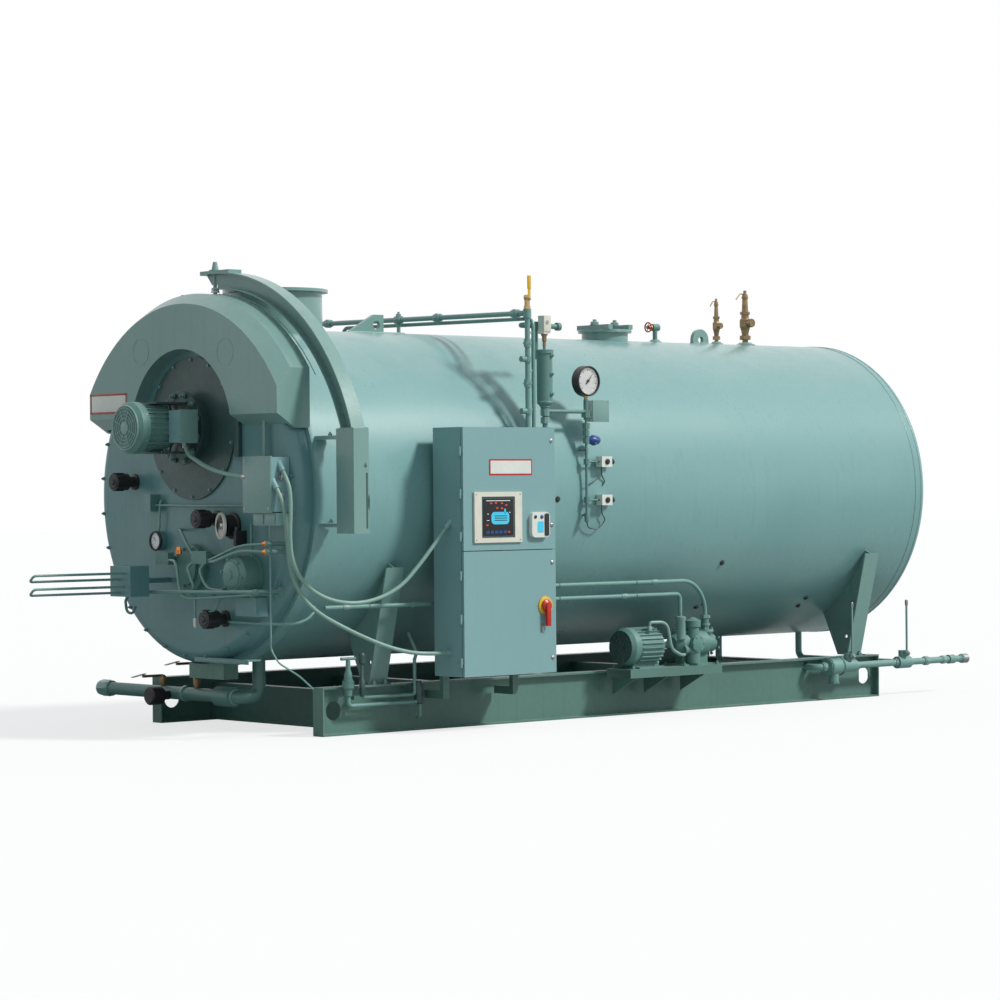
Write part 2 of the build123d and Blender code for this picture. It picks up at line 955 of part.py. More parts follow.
def vent_valve():
    """The small brass valve on its riser, its stem towards the front."""
    riser = rod((vent_x, 0, axis_z), (vent_x, 0, vent_z - vent_body_r), vent_pipe_r)
    body = rod(
        (vent_x - vent_body_length / 2, 0, vent_z),
        (vent_x + vent_body_length / 2, 0, vent_z),
        vent_body_r,
    )
    body += rod((vent_x, 0, vent_z - vent_body_r), (vent_x, 0, vent_z), vent_pipe_r)
    stem_x = vent_x - vent_body_length / 2 - wheel_gap
    body += rod((stem_x, 0, vent_z), (vent_x, 0, vent_z), vent_stem_r)
    return off_shell(riser + body)


def vent_wheel():
    """The spoked handwheel on the valve's stem."""
    x = vent_x - vent_body_length / 2 - wheel_gap + wheel_hub_r
    plane = Plane(origin=(x, 0, vent_z), z_dir=(1, 0, 0))
    wheel = plane * Torus(wheel_r - wheel_rim_r, wheel_rim_r)
    wheel += rod((x - wheel_hub_r, 0, vent_z), (x + wheel_hub_r, 0, vent_z), wheel_hub_r + wheel_rim_r)
    for angle, _, _ in around(wheel_spokes, wheel_r, wheel_turn):
        spoke = rod((0, 0, wheel_hub_r), (0, 0, wheel_r - wheel_rim_r), wheel_rim_r / 2)
        wheel += Pos(x, 0, vent_z) * Rot(angle, 0, 0) * spoke
    far = wheel_hub_r + overrun
    return wheel - rod((x - far, 0, vent_z), (x + far, 0, vent_z), vent_stem_r + running_gap)


def relief_valve(x, radius, height):
    """An upright brass relief valve: base, body, bonnet, cap and side outlet."""
    z = shell_top(0)
    shares = [
        (0.55, -0.05),
        (0.55, 0.1),
        (0.95, 0.1),
        (0.95, 0.17),
        (0.6, 0.19),
        (0.75, 0.27),
        (1.0, 0.34),
        (1.0, 0.46),
        (0.7, 0.5),
        (0.7, 0.56),
        (0.85, 0.57),
        (0.85, 0.6),
        (0.6, 0.62),
        (0.5, 0.84),
        (0.62, 0.85),
        (0.5, 0.93),
        (0.3, 0.94),
        (0.3, 1.0),
        (0, 1.0),
        (0, -0.05),
    ]
    body = turned_z([(radius * r, height * h) for r, h in shares], x, 0, z)
    outlet_share, reach_share, bore_share = 0.4, 1.9, 0.5
    outlet_z = z + height * outlet_share
    wide_share = 0.72
    reach = radius * reach_share
    body += rod((x, 0, outlet_z), (x, -reach, outlet_z), radius * wide_share)
    body -= rod((x, -radius, outlet_z), (x, -reach - overrun, outlet_z), radius * bore_share)
    return off_shell(body)


# Equalizing pipe, conduit and test valve


def cross_pipe():
    """The pipe that crosses over the shell and drops beside it on both sides."""
    pipe = bent(
        [
            (cross_x, cross_nozzle_y, cross_low_z),
            (cross_x, cross_y, cross_low_z),
            (cross_x, cross_y, cross_far_z),
            (cross_x, -cross_y, cross_near_z),
            (cross_x, -cross_y, cross_low_z),
            (cross_x, -cross_nozzle_y, cross_low_z),
        ],
        cross_pipe_r,
        cross_bend,
    )
    slope = (cross_far_z - cross_near_z) / (2 * cross_y)
    tee = (cross_x, -cross_y, cross_near_z - union_length / 2)
    pipe += rod(tee, (cross_x, -cross_y, cross_near_z + union_r), union_r)
    side = (cross_x, union_r - cross_y, cross_near_z)
    pipe += rod(side, (cross_x, union_length - cross_y, cross_near_z), plug_r)
    post_z = cross_near_z + slope * (cross_y + cross_post_y)
    pipe += rod((cross_x, cross_post_y, axis_z), (cross_x, cross_post_y, post_z), cross_post_r)
    pipe += rod(
        (cross_x, cross_post_y - cross_post_r, post_z),
        (cross_x, cross_post_y + cross_post_r, post_z),
        union_r,
    )
    for z in plug_z:
        pipe += rod((cross_x, -cross_y, z - plug_r), (cross_x, -cross_y, z + plug_r), union_r)
        pipe += rod((cross_x, -cross_y, z), (cross_x - plug_reach, -cross_y, z), plug_r)
    return off_shell(pipe)


def test_valve():
    """The small brass ball valve on top of the crossing pipe."""
    low = cross_near_z + union_r
    body = rod((cross_x, -cross_y, low), (cross_x, -cross_y, low + test_valve_height), test_valve_r)
    stem_end = -cross_y - test_valve_r - 2 * test_lever_thickness
    stem = rod((cross_x, -cross_y, test_stem_z), (cross_x, stem_end, test_stem_z), test_lever_thickness)
    return body + stem


def test_lever():
    """The flat lever of the small ball valve, upright when open."""
    face_y = -cross_y - test_valve_r - seat_gap
    half = test_lever_width / 2
    lever = block(
        (cross_x - half, cross_x + half),
        (face_y - test_lever_thickness, face_y),
        (test_stem_z - half, test_stem_z + test_lever_length),
    )
    bore = test_lever_thickness + running_gap
    return lever - rod((cross_x, 0, test_stem_z), (cross_x, 2 * face_y, test_stem_z), bore)


def cross_conduit():
    """The wiring conduit that runs below the crossing pipe and down beside it."""
    x = cross_x + cross_conduit_step
    slope = (cross_far_z - cross_near_z) / (2 * cross_y)
    near_z = cross_near_z - cross_conduit_drop
    far_y = cross_nozzle_y - cross_conduit_bend
    far_z = near_z + slope * (cross_y + far_y)
    run = bent(
        [
            (x, far_y, shell_top(far_y) - overrun),
            (x, far_y, far_z),
            (x, -cross_y, near_z),
            (x, -cross_y, cross_conduit_low_z),
            (x, -cross_nozzle_y + cross_conduit_bend, cross_conduit_low_z),
        ],
        cross_conduit_r,
        cross_conduit_bend / 2,
    )
    return off_shell(run)


# Water column and gauge manifold


def water_column():
    """The float chamber beside the shell with its caps and connections."""
    low, high = column_z
    cross_low, cross_high = column_cross_z
    height = high - low
    body = turned_z(
        [
            (0, 0),
            (column_cross_r, 0),
            (column_r, column_cap),
            (column_r, height - column_cap),
            (column_cap_r, height - column_cap),
            (column_cap_r, height),
            (0, height),
        ],
        column_x,
        column_y,
        low,
    )
    body += rod((column_x, column_y, cross_low), (column_x, column_y, cross_high), column_cross_r)
    body += bent(
        [
            (column_x, column_y, cross_low),
            (column_x, column_y, column_low_z),
            (column_x, -cross_nozzle_y, column_low_z),
        ],
        column_pipe_r,
        2 * column_pipe_r,
    )
    body += rod((column_x, column_y, high), (column_x, column_y, column_head_z), column_stem_r)
    return off_shell(body)


def steam_branch():
    """The pipe from the crossing pipe past the top of the water column, with its down leg."""
    z = steam_branch_z
    back_y = steam_branch_y
    run = bent(
        [(cross_x, -cross_y, z), (cross_x, back_y, z), (steam_branch_end_x, back_y, z)],
        cross_pipe_r,
        cross_bend,
    )
    side_z = column_z[1] - 2 * column_cap
    run += bent(
        [(column_x, back_y, z), (column_x, back_y, side_z), (column_x, column_y, side_z)],
        column_pipe_r,
        column_pipe_r + column_stem_r,
    )
    run += rod((column_x, back_y, z - union_r), (column_x, back_y, z + union_r), union_r)
    run += rod((steam_branch_end_x - union_r, back_y, z), (steam_branch_end_x, back_y, z), union_r)
    cap_z = column_z[1] - column_cap
    run -= rod((column_x, column_y, column_z[0]), (column_x, column_y, cap_z), column_r)
    low, high = widened((z, z), overrun)
    return off_shell(run - rod((cross_x, -cross_y, low), (cross_x, -cross_y, high), cross_pipe_r))


def column_switch():
    """The control head on top of the water column."""
    width, depth, height = column_head
    return block(
        spread(column_x, width),
        spread(column_y, depth),
        (column_head_z, column_head_z + height),
    )


def pressure_gauge():
    """The round dial gauge facing the control side."""
    front_y, back_y = spread(gauge_y, gauge_depth)
    gauge = rod((gauge_x, back_y, gauge_z), (gauge_x, front_y, gauge_z), gauge_r)
    rim_share = 0.9
    lip_share = 0.2
    gauge -= rod(
        (gauge_x, front_y - overrun, gauge_z),
        (gauge_x, front_y + gauge_depth * lip_share, gauge_z),
        gauge_r * rim_share,
    )
    stem_top = gauge_z - gauge_r / 2
    return gauge + rod((gauge_x, gauge_y, manifold_z[1]), (gauge_x, gauge_y, stem_top), gauge_stem_r)


def gauge_manifold():
    """The upright pipe that feeds the gauge and the pressure switches."""
    low, high = manifold_z
    link_top, link_low = link_z
    pipe = rod((gauge_x, gauge_y, manifold_step_z), (gauge_x, gauge_y, high), manifold_r)
    pipe += rod((gauge_x, gauge_y, low), (gauge_x, gauge_y, manifold_step_z), manifold_thin_r)
    link = rod((column_x, column_y, link_top), (gauge_x, gauge_y, link_top), link_r)
    pipe += link - rod((column_x, column_y, column_low_z), (column_x, column_y, high), column_cross_r)
    back_z = (link_low, low + 2 * manifold_r)
    for z in back_z:
        pipe += rod((gauge_x, gauge_y, z), (gauge_x, gauge_y + shell_r / 2, z), branch_r)
    for z in switch_z:
        pipe += rod((gauge_x, gauge_y, z), (gauge_x + switch_x, gauge_y, z), branch_r)
    pipe += rod((gauge_x, gauge_y, blue_valve_z), (gauge_x + switch_x, gauge_y, blue_valve_z), branch_r)
    return off_shell(pipe)


def limit_box():
    """The square wiring box beside the gauge pipe."""
    z = sum(limit_box_z) / 2
    box = block(limit_box_x, spread(gauge_y, limit_box_depth), limit_box_z)
    start = (gauge_x + manifold_r, gauge_y, z)
    return box + rod(start, (limit_box_x[0], gauge_y, z), manifold_thin_r)


def pressure_switches():
    """The two square pressure controls on the manifold."""
    width, depth, height = switch_size
    x = gauge_x + switch_x
    return [block((x, x + width), spread(gauge_y, depth), spread(z, height)) for z in switch_z]


# Control cabinet


cabinet_body_front_y = cabinet_back_y - cabinet_depth + door_thickness + door_gap
cabinet_front_y = cabinet_back_y - cabinet_depth
door_back_y = cabinet_front_y + door_thickness
hinge_x = cabinet_x[0] - hinge_barrel_r - seat_gap
hinge_y = door_back_y


def hinge_heights(low, high):
    """Middle heights of the hinges along one door."""
    inset = 2 * hinge_length
    step = (high - low - 2 * inset) / (hinge_count - 1)
    return [low + inset + i * step for i in range(hinge_count)]


def door_spans():
    """The low and high limits of the lower and the upper door."""
    low, high = cabinet_z
    middle = cabinet_mid_z
    return (low, middle - door_seam / 2), (middle + door_seam / 2, high)


def cabinet_body():
    """The open-fronted sheet-metal cabinet with its lips, divider and hinge pins."""
    y_span = (cabinet_body_front_y, cabinet_back_y)
    body = block(cabinet_x, y_span, cabinet_z)
    sheet = cabinet_sheet
    body -= block(widened(cabinet_x, -sheet), widened(y_span, -sheet), widened(cabinet_z, -sheet))
    mouth_y = widened((y_span[0], y_span[0]), overrun)
    for span in door_spans():
        body -= block(widened(cabinet_x, -cabinet_lip), mouth_y, widened(span, -cabinet_lip))
    for low, high in door_spans():
        for z in hinge_heights(low, high):
            foot = (hinge_x, hinge_y, z - hinge_length)
            knuckle_top = z - hinge_length * (1 - hinge_leaf_share)
            pin = rod(foot, (hinge_x, hinge_y, z), hinge_pin_r)
            knuckle = rod(foot, (hinge_x, hinge_y, knuckle_top), hinge_barrel_r)
            leaf = block(
                (hinge_x - hinge_pin_r, cabinet_x[0]),
                (cabinet_body_front_y, cabinet_body_front_y + hinge_length / 2),
                (z - hinge_length, knuckle_top),
            )
            body += pin + knuckle + leaf
    for route in (upper_route, lower_route):
        body += gland(route[::-1], cabinet_x[0] - route[-1][0], (1, 0, 0))
    return body


def cabinet_door(low, high):
    """One sheet-metal door with returned edges and its hinge barrels."""
    door = block(cabinet_x, (cabinet_front_y, door_back_y), (low, high))
    sheet = cabinet_sheet
    inner_y = (cabinet_front_y + sheet, door_back_y + overrun)
    door -= block(widened(cabinet_x, -sheet), inner_y, widened((low, high), -sheet))
    for z in hinge_heights(low, high):
        base = z - hinge_length * (1 - hinge_leaf_share) + seat_gap
        barrel = rod((hinge_x, hinge_y, base), (hinge_x, hinge_y, z), hinge_barrel_r)
        leaf_y = (hinge_y - hinge_barrel_r, hinge_y - sheet)
        barrel += block((hinge_x, cabinet_x[0] + sheet), leaf_y, (base, z))
        door += barrel
        bore = hinge_pin_r + running_gap
        door -= rod((hinge_x, hinge_y, base - seat_gap), (hinge_x, hinge_y, z + seat_gap), bore)
    return door


def lower_door():
    """The lower door with the boss of the disconnect switch."""
    low, high = door_spans()[0]
    door = cabinet_door(low, high)
    front = cabinet_front_y - switch_disc
    centre = (switch_centre_x, cabinet_front_y + cabinet_sheet, switch_centre_z)
    door += rod(centre, (switch_centre_x, front, switch_centre_z), switch_disc_r)
    stub = front - switch_handle_depth / 2
    return door + rod(centre, (switch_centre_x, stub, switch_centre_z), switch_boss_r / 2)


def disconnect_handle():
    """The turning handle of the disconnect switch."""
    front = cabinet_front_y - switch_disc - seat_gap
    centre = (switch_centre_x, front, switch_centre_z)
    handle = rod(centre, (switch_centre_x, front - switch_handle_depth, switch_centre_z), switch_boss_r)
    grip_back = front - switch_handle_depth * switch_grip_share
    handle += block(
        spread(switch_centre_x, switch_handle_width),
        (front - switch_handle_depth, grip_back),
        (switch_centre_z - switch_handle_length, switch_centre_z + switch_handle_width / 2),
    )
    bore_end = front - switch_handle_depth / 2 - seat_gap
    return handle - rod(
        (switch_centre_x, front + seat_gap, switch_centre_z),
        (switch_centre_x, bore_end, switch_centre_z),
        switch_boss_r / 2 + running_gap,
    )


def operator_panel():
    """The bezel of the operator screen on the upper door."""
    panel = block(screen_bezel_x, (cabinet_front_y - screen_bezel, cabinet_front_y), screen_bezel_z)
    inner_x = (screen_bezel_x[0] + screen_margin, screen_bezel_x[1] - screen_margin)
    inner_z = (screen_bezel_z[0] + screen_margin / 2, screen_bezel_z[1] - screen_margin / 2)
    front = cabinet_front_y - screen_bezel
    return panel - block(inner_x, (front - overrun, front + screen_recess), inner_z)


def cabinet_plate():
    """The mounting plate inside the cabinet on its four studs."""
    x_span = widened(cabinet_x, -plate_margin)
    z_span = widened(cabinet_z, -plate_margin)
    back = cabinet_back_y - cabinet_sheet
    front = back - plate_stand - plate_thickness
    plate = block(x_span, (front, back - plate_stand), z_span)
    for x in widened(x_span, -plate_margin):
        for z in widened(z_span, -plate_margin):
            plate += rod((x, back, z), (x, front, z), plate_stud_r)
    return plate


def cabinet_stand():
    """Two upright channels behind the cabinet that stand on the near rail."""
    width = cabinet_x[1] - cabinet_x[0]
    uprights = []
    for share in stand_x_shares:
        x = cabinet_x[0] + share * width
        span = spread(x, stand_width)
        back_y = -shell_r - seat_gap
        foot_z = rail_height - stand_width
        upright = block(span, (cabinet_back_y, back_y), (foot_z, cabinet_z[1] - stand_width))
        foot = block(span, (cabinet_back_y, -rail_outer_y), (foot_z - stand_width, foot_z))
        uprights.append(upright + foot)
    return Compound(children=uprights)


# Front head equipment


def junction_box():
    """The wiring box on the front head, its lid, its glands and two relay boxes below it."""
    box = block(jbox_x, jbox_y, jbox_z)
    lid = block(
        (jbox_x[0] - jbox_lid, jbox_x[0]),
        (jbox_y[0] - jbox_lid, jbox_y[1] + jbox_lid),
        (jbox_z[0] - jbox_lid, jbox_z[1] + jbox_lid),
    )
    pieces = box + lid
    for route in (upper_route, lower_route):
        pieces += gland(route, jbox_y[0] - route[0][1], (0, 1, 0))
    depth, width, height = relay_size
    top = jbox_z[0] - jbox_lid
    for y in (jbox_y[0], jbox_y[0] + width + jbox_lid):
        pieces += block((door_face_x - depth, door_face_x), (y, y + width), (top - height, top))
    return pieces


def burner_front():
    """The stepped burner boss low on the front head."""
    first = door_face_x - burner_depth
    second = first - burner_step
    boss = turned_x(
        [
            (door_face_x, 0),
            (door_face_x, burner_r),
            (first, burner_r),
            (first, burner_step_r),
            (second, burner_step_r),
            (second, 0),
        ],
        burner_z,
    )
    for y_span, z_span in zip(control_block_y, control_block_z):
        y, z = sum(y_span) / 2, sum(z_span) / 2
        boss += block(control_block_x, y_span, z_span)
        boss += rod((control_block_x[1], y, z), (door_face_x, y, z), manifold_r)
    return boss


def control_housing():
    """The round control housing on the near side of the front head."""
    front = door_face_x - housing_depth
    back = door_face_x - housing_rim
    drum = turned_x(
        [
            (front, 0),
            (front, housing_r - housing_rim),
            (front + housing_rim, housing_r),
            (back, housing_r),
            (back, housing_rim_r),
            (door_face_x, housing_rim_r),
            (door_face_x, 0),
        ],
        housing_z,
    )
    return Pos(0, housing_y, 0) * drum


def fuel_block():
    """The fuel valve block held in front of the head by its bar."""
    body = block(block_x, block_y, block_z)
    y, z = sum(block_y) / 2, sum(block_z) / 2
    return body + rod((block_x[1], y, z), (door_face_x, y, z), manifold_r)


def fuel_loops():
    """The hairpin tubes that stand out from the fuel block."""
    loops = []
    y = block_y[1] - loop_pitch
    reach = block_x[0] - loop_reach
    for i in range(2):
        z = block_z[0] + loop_pitch / 4 + i * loop_span
        top = z + loop_gap / 2
        far_y = y - loop_pitch / 2
        points = [(block_x[0], y, z), (reach, y, z), (reach, far_y, top), (block_x[0], far_y, top)]
        loops.append(bent(points, loop_r, loop_pitch / 5))
    return Compound(children=loops)


def low_box():
    """The square damper box low on the front head."""
    return block(low_box_x, low_box_y, low_box_z)


def sight_ports():
    """Capped sight and scanner ports on the front head."""
    ports = []
    for y, z in port_places:
        neck_x = door_face_x - port_neck
        port = rod((door_face_x, y, z), (neck_x, y, z), port_neck_r)
        port += rod((neck_x, y, z), (neck_x - port_length, y, z), port_r)
        ports.append(port)
    return Compound(children=ports)


def head_instruments():
    """The draught gauge, its switch box and the damper box on the front head."""
    depth, width, height = small_box
    y, z = door_gauge_place
    gauge = rod((door_face_x, y, z), (door_face_x - door_gauge_depth, y, z), door_gauge_r)
    y, z = small_box_place
    box = block((door_face_x - depth, door_face_x), spread(y, width), spread(z, height))
    return Compound(children=[gauge, box, low_box()])


# Flexible conduits


def route_radii(route):
    """The largest arc that fits at each inner point of a hanging conduit's route."""
    points = [Vector(*point) for point in route]
    radii = []
    for before, here, after in zip(points, points[1:], points[2:]):
        first = here - before
        second = after - here
        half_turn = radians(first.get_angle(second)) / 2
        shorter = min(first.length, second.length)
        radii.append(conduit_turn_share * shorter / tan(half_turn))
    return radii


def hanging_conduit(route):
    """A flexible conduit along its route."""
    radii = route_radii(route)
    print("arc radii", [round(radius) for radius in radii])
    path = FilletPolyline(*route, radius=radii)
    return sweep(Plane(origin=path @ 0, z_dir=path % 0) * Circle(conduit_r), path=path)


def gland(route, gap, axis):
    """The fitting that grips a route's first end and is rooted in a wall one gap away."""
    start = Vector(*route[0])
    way = (start - Vector(*route[1])).normalized()
    reach = (gap + gland_root) / abs(way.dot(Vector(*axis)))
    return rod(tuple(start), tuple(start + way * reach), gland_r)


# Oil pump set


def pump_base():
    """The channel base of the pump set on its gussets beside the rail."""
    base = block(pump_base_x, pump_base_y, pump_base_z)
    wall = pump_base_wall
    hollow_z = (pump_base_z[0] - overrun, pump_base_z[1] - wall)
    base -= block(widened(pump_base_x, overrun), widened(pump_base_y, -wall), hollow_z)
    length = pump_base_x[1] - pump_base_x[0]
    low = pump_base_z[0] - (pump_base_y[1] - pump_base_y[0]) / 2
    for share in pump_bracket_x_shares:
        x = pump_base_x[0] + share * length
        points = [
            (x, pump_base_y[1], pump_base_z[0]),
            (x, pump_base_y[0], pump_base_z[0]),
            (x, pump_base_y[1], low),
        ]
        gusset = extrude(make_face(Polyline(*points, close=True)), amount=pump_bracket, dir=(1, 0, 0))
        base += gusset
    return base


def pump_motor():
    """The foot-mounted motor of the pump set."""
    x0, x1 = pump_motor_x
    r = pump_motor_r
    cover_share, body_share, bell_share, shaft_share, foot_share = 0.2, 0.88, 0.5, 0.18, 0.85
    cover_x = x0 + (x1 - x0) * cover_share
    bell_x = x1 - (x1 - x0) * cover_share / 2
    body = turned_x(
        [
            (x0, 0),
            (x0, r * foot_share),
            (x0 + r * cover_share, r),
            (cover_x, r),
            (cover_x, r * body_share),
            (bell_x, r * body_share),
            (x1, r * bell_share),
            (x1, r * shaft_share),
            (pump_body_x[0], r * shaft_share),
            (pump_body_x[0], 0),
        ],
        pump_axis_z,
    )
    body = Pos(0, pump_y, 0) * body
    half = r * foot_share
    foot_top = pump_base_z[1] + pump_bracket
    foot_x = (cover_x, bell_x)
    body += block(foot_x, (pump_y - half, pump_y + half), (pump_base_z[1], foot_top))
    return body + block(foot_x, (pump_y - half / 2, pump_y + half / 2), (pump_base_z[1], pump_axis_z))


def oil_pump():
    """The gear pump on its foot, with its two upright ports."""
    x0, x1 = pump_body_x
    neck_share, nose_share, foot_share = 0.6, 0.7, 0.8
    nose_x = x1 - pump_body_r
    body = Pos(0, pump_y, 0) * turned_x(
        [
            (x0, 0),
            (x0, pump_body_r * neck_share),
            (x0 + pump_body_r / 2, pump_body_r),
            (nose_x, pump_body_r),
            (nose_x, pump_body_r * nose_share),
            (x1, pump_body_r * nose_share),
            (x1, 0),
        ],
        pump_axis_z,
    )
    half = pump_body_r * foot_share
    y_span = (pump_y - half, pump_y + half)
    foot_top = pump_base_z[1] + pump_bracket
    body += block((x0 + half / 2, x1 - half / 2), y_span, (pump_base_z[1], foot_top))
    y_span = (pump_y - half / 2, pump_y + half / 2)
    body += block((x0 + half, x1 - half), y_span, (pump_base_z[1], pump_axis_z))
    for x in pump_port_x:
        body += rod((x, pump_y, pump_axis_z), (x, pump_y, pump_port_z), pump_port_r)
    return body


# Pipes


def side_pipes():
    """The two oil pipes along the shell's side, from the pump set to the front."""
    near_x = pump_port_x[0]
    far_x = pump_port_x[1]
    upper = bent(
        [
            (far_x, pump_y, pump_port_z),
            (far_x, pump_y, side_upper_z),
            (far_x - side_bend, side_y, side_upper_z),
            (side_join_x, side_y, side_upper_z),
        ],
        side_pipe_r,
        side_sweep,
    )
    joint_top = side_upper_z + side_pipe_r
    upper += rod((side_join_x, side_y, joint_top), (side_join_x, side_y, side_lower_z), side_pipe_r)
    lower = bent(
        [
            (near_x, pump_y, pump_port_z),
            (near_x, pump_y, side_lower_z),
            (near_x - side_bend, side_y, side_lower_z),
            (side_front_x, side_y, side_lower_z),
        ],
        side_pipe_r,
        side_elbow,
    )
    return upper + lower


def blowdown_pipe():
    """The two bottom drains of the shell and the run beside the near rail."""
    high = axis_z - shell_r + blow_bend
    run = bent(
        [
            (blow_front_x, 0, high),
            (blow_front_x, 0, blow_z),
            (blow_front_x, blow_y, blow_z),
            (blow_end_x, blow_y, blow_z),
        ],
        blow_r,
        blow_bend,
    )
    branch = bent(
        [
            (blow_rear_x, 0, high),
            (blow_rear_x, 0, blow_z),
            (blow_rear_x, blow_y, blow_z),
        ],
        blow_r,
        blow_bend,
    )
    pipe = off_shell(run + branch)
    for share in blow_coupling_shares:
        x = blow_end_x - share * (blow_end_x - blow_front_x)
        pipe += rod((x - coupling_length, blow_y, blow_z), (x, blow_y, blow_z), coupling_r)
    stem_z = blow_z + blow_stem_rise
    stem_end = blow_y - blow_neck_r - lever_stem_length
    for x in (lever_front_x, lever_rear_x):
        half = blow_valve_length / 2
        pipe += rod((x - half, blow_y, blow_z), (x + half, blow_y, blow_z), blow_valve_r)
        pipe += rod((x, blow_y, blow_z), (x, blow_y, stem_z + lever_hub_r), blow_neck_r)
        pipe += rod((x, blow_y, stem_z), (x, stem_end, stem_z), lever_stem_r)
    pipe += rod((quick_valve_x[0], blow_y, blow_z), (quick_valve_x[1], blow_y, blow_z), quick_valve_r)
    middle = (quick_valve_x[0] + quick_valve_x[1]) / 2
    pipe += rod((middle, blow_y, blow_z), (middle, blow_y, blow_z - quick_bonnet), quick_bonnet_r)
    bore_start = (blow_end_x - blow_bore_depth, blow_y, blow_z)
    return pipe - rod(bore_start, (blow_end_x + overrun, blow_y, blow_z), blow_bore_r)


def blowdown_lever(x):
    """The upright lever of one blowdown valve."""
    stem_z = blow_z + blow_stem_rise
    near = blow_y - blow_neck_r - seat_gap
    far = near - lever_hub_length
    middle = (near + far) / 2
    lever = rod((x, near, stem_z), (x, far, stem_z), lever_hub_r)
    lever += rod((x, middle, stem_z), (x, middle, stem_z + lever_length), lever_r)
    bore = lever_stem_r + running_gap
    return lever - rod((x, near + overrun, stem_z), (x, far - overrun, stem_z), bore)


def front_drain():
    """The wide drain pipe across the front of the skid and its riser."""
    low = axis_z - sqrt(shell_r**2 - drain_elbow_y**2)
    pipe = bent(
        [
            (drain_x, drain_far_y, drain_z),
            (drain_x, drain_elbow_y, drain_z),
            (drain_turn_x, drain_elbow_y, drain_z),
            (drain_turn_x, drain_elbow_y, low + drain_r),
        ],
        drain_r,
        drain_bend,
    )
    cap_end = (drain_x, drain_far_y - drain_cap, drain_z)
    pipe += rod((drain_x, drain_far_y, drain_z), cap_end, drain_cap_r)
    start = drain_elbow_y + drain_bend
    pipe += rod((drain_x, start, drain_z), (drain_x, start + drain_elbow, drain_z), drain_elbow_r)
    return off_shell(pipe)


def tray():
    """The drip tray under the front head."""
    return off_shell(block(tray_x, tray_y, tray_z))


# Every sub-part under its node's name

upper_span = door_spans()[1]

parts = {
    "skid_rail_near": skid_rail(-1),
    "skid_rail_far": skid_rail(1),
    "skid_crossmembers": skid_crossmembers(),
    "saddle_front": saddle(front_saddle_x),
    "saddle_rear": saddle(rear_saddle_x),
    "shell": shell(),
    "front_ring": front_ring(),
    "front_door": front_door(),
    "rear_head": rear_head(),
    "rear_cover": rear_cover(),
    "inlet_hood": hood(),
    "fan_plate": fan_plate() + motor_bracket(),
    "blower_motor": blower_motor(),
    "terminal_box": terminal_box(),
    "davit_arm": davit_arm(),
    "davit_post": davit_post(),
    "davit_hanger": davit_hanger(),
    "flue_outlet": flue_outlet(),
    "lifting_lugs": lifting_lugs(),
    "manway": manway(),
    "vent_valve": vent_valve(),
    "vent_wheel": vent_wheel(),
    "relief_valve_small": relief_valve(small_relief_x, small_relief_r, small_relief_height),
    "relief_valve_large": relief_valve(large_relief_x, large_relief_r, large_relief_height),
    "cross_pipe": cross_pipe(),
    "cross_conduit": cross_conduit(),
    "test_valve": test_valve(),
    "test_lever": test_lever(),
    "steam_branch": steam_branch(),
    "water_column": water_column(),
    "column_switch": column_switch(),
    "pressure_gauge": pressure_gauge(),
    "gauge_manifold": gauge_manifold(),
    "pressure_controls": Compound(children=[limit_box(), *pressure_switches()]),
    "cabinet_body": cabinet_body(),
    "cabinet_upper_door": cabinet_door(*upper_span),
    "cabinet_lower_door": lower_door(),
    "disconnect_handle": disconnect_handle(),
    "operator_panel": operator_panel(),
    "cabinet_plate": cabinet_plate(),
    "cabinet_stand": cabinet_stand(),
    "junction_box": junction_box(),
    "burner_front": burner_front(),
    "control_housing": control_housing(),
    "fuel_block": fuel_block(),
    "fuel_loops": fuel_loops(),
    "sight_ports": sight_ports(),
    "head_instruments": head_instruments(),
    "upper_conduit": hanging_conduit(upper_route),
    "lower_conduit": hanging_conduit(lower_route),
    "pump_base": pump_base(),
    "pump_motor": pump_motor(),
    "oil_pump": oil_pump(),
    "side_pipes": side_pipes(),
    "blowdown_pipe": blowdown_pipe(),
    "blowdown_lever_front": blowdown_lever(lever_front_x),
    "blowdown_lever_rear": blowdown_lever(lever_rear_x),
    "front_drain": front_drain(),
    "drip_tray": tray(),
}

os.makedirs("parts", exist_ok=True)
for name, part in parts.items():
    export_step(part, f"parts/{name}.step")
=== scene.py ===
"""Dresses the packaged fire-tube boiler: its finishes, its fine fittings, the light and the camera."""
import json
import logging
import math
from dataclasses import dataclass
from enum import Enum
from itertools import product
from typing import Iterable, Sequence

import bmesh
import bpy
from mathutils import Matrix, Vector

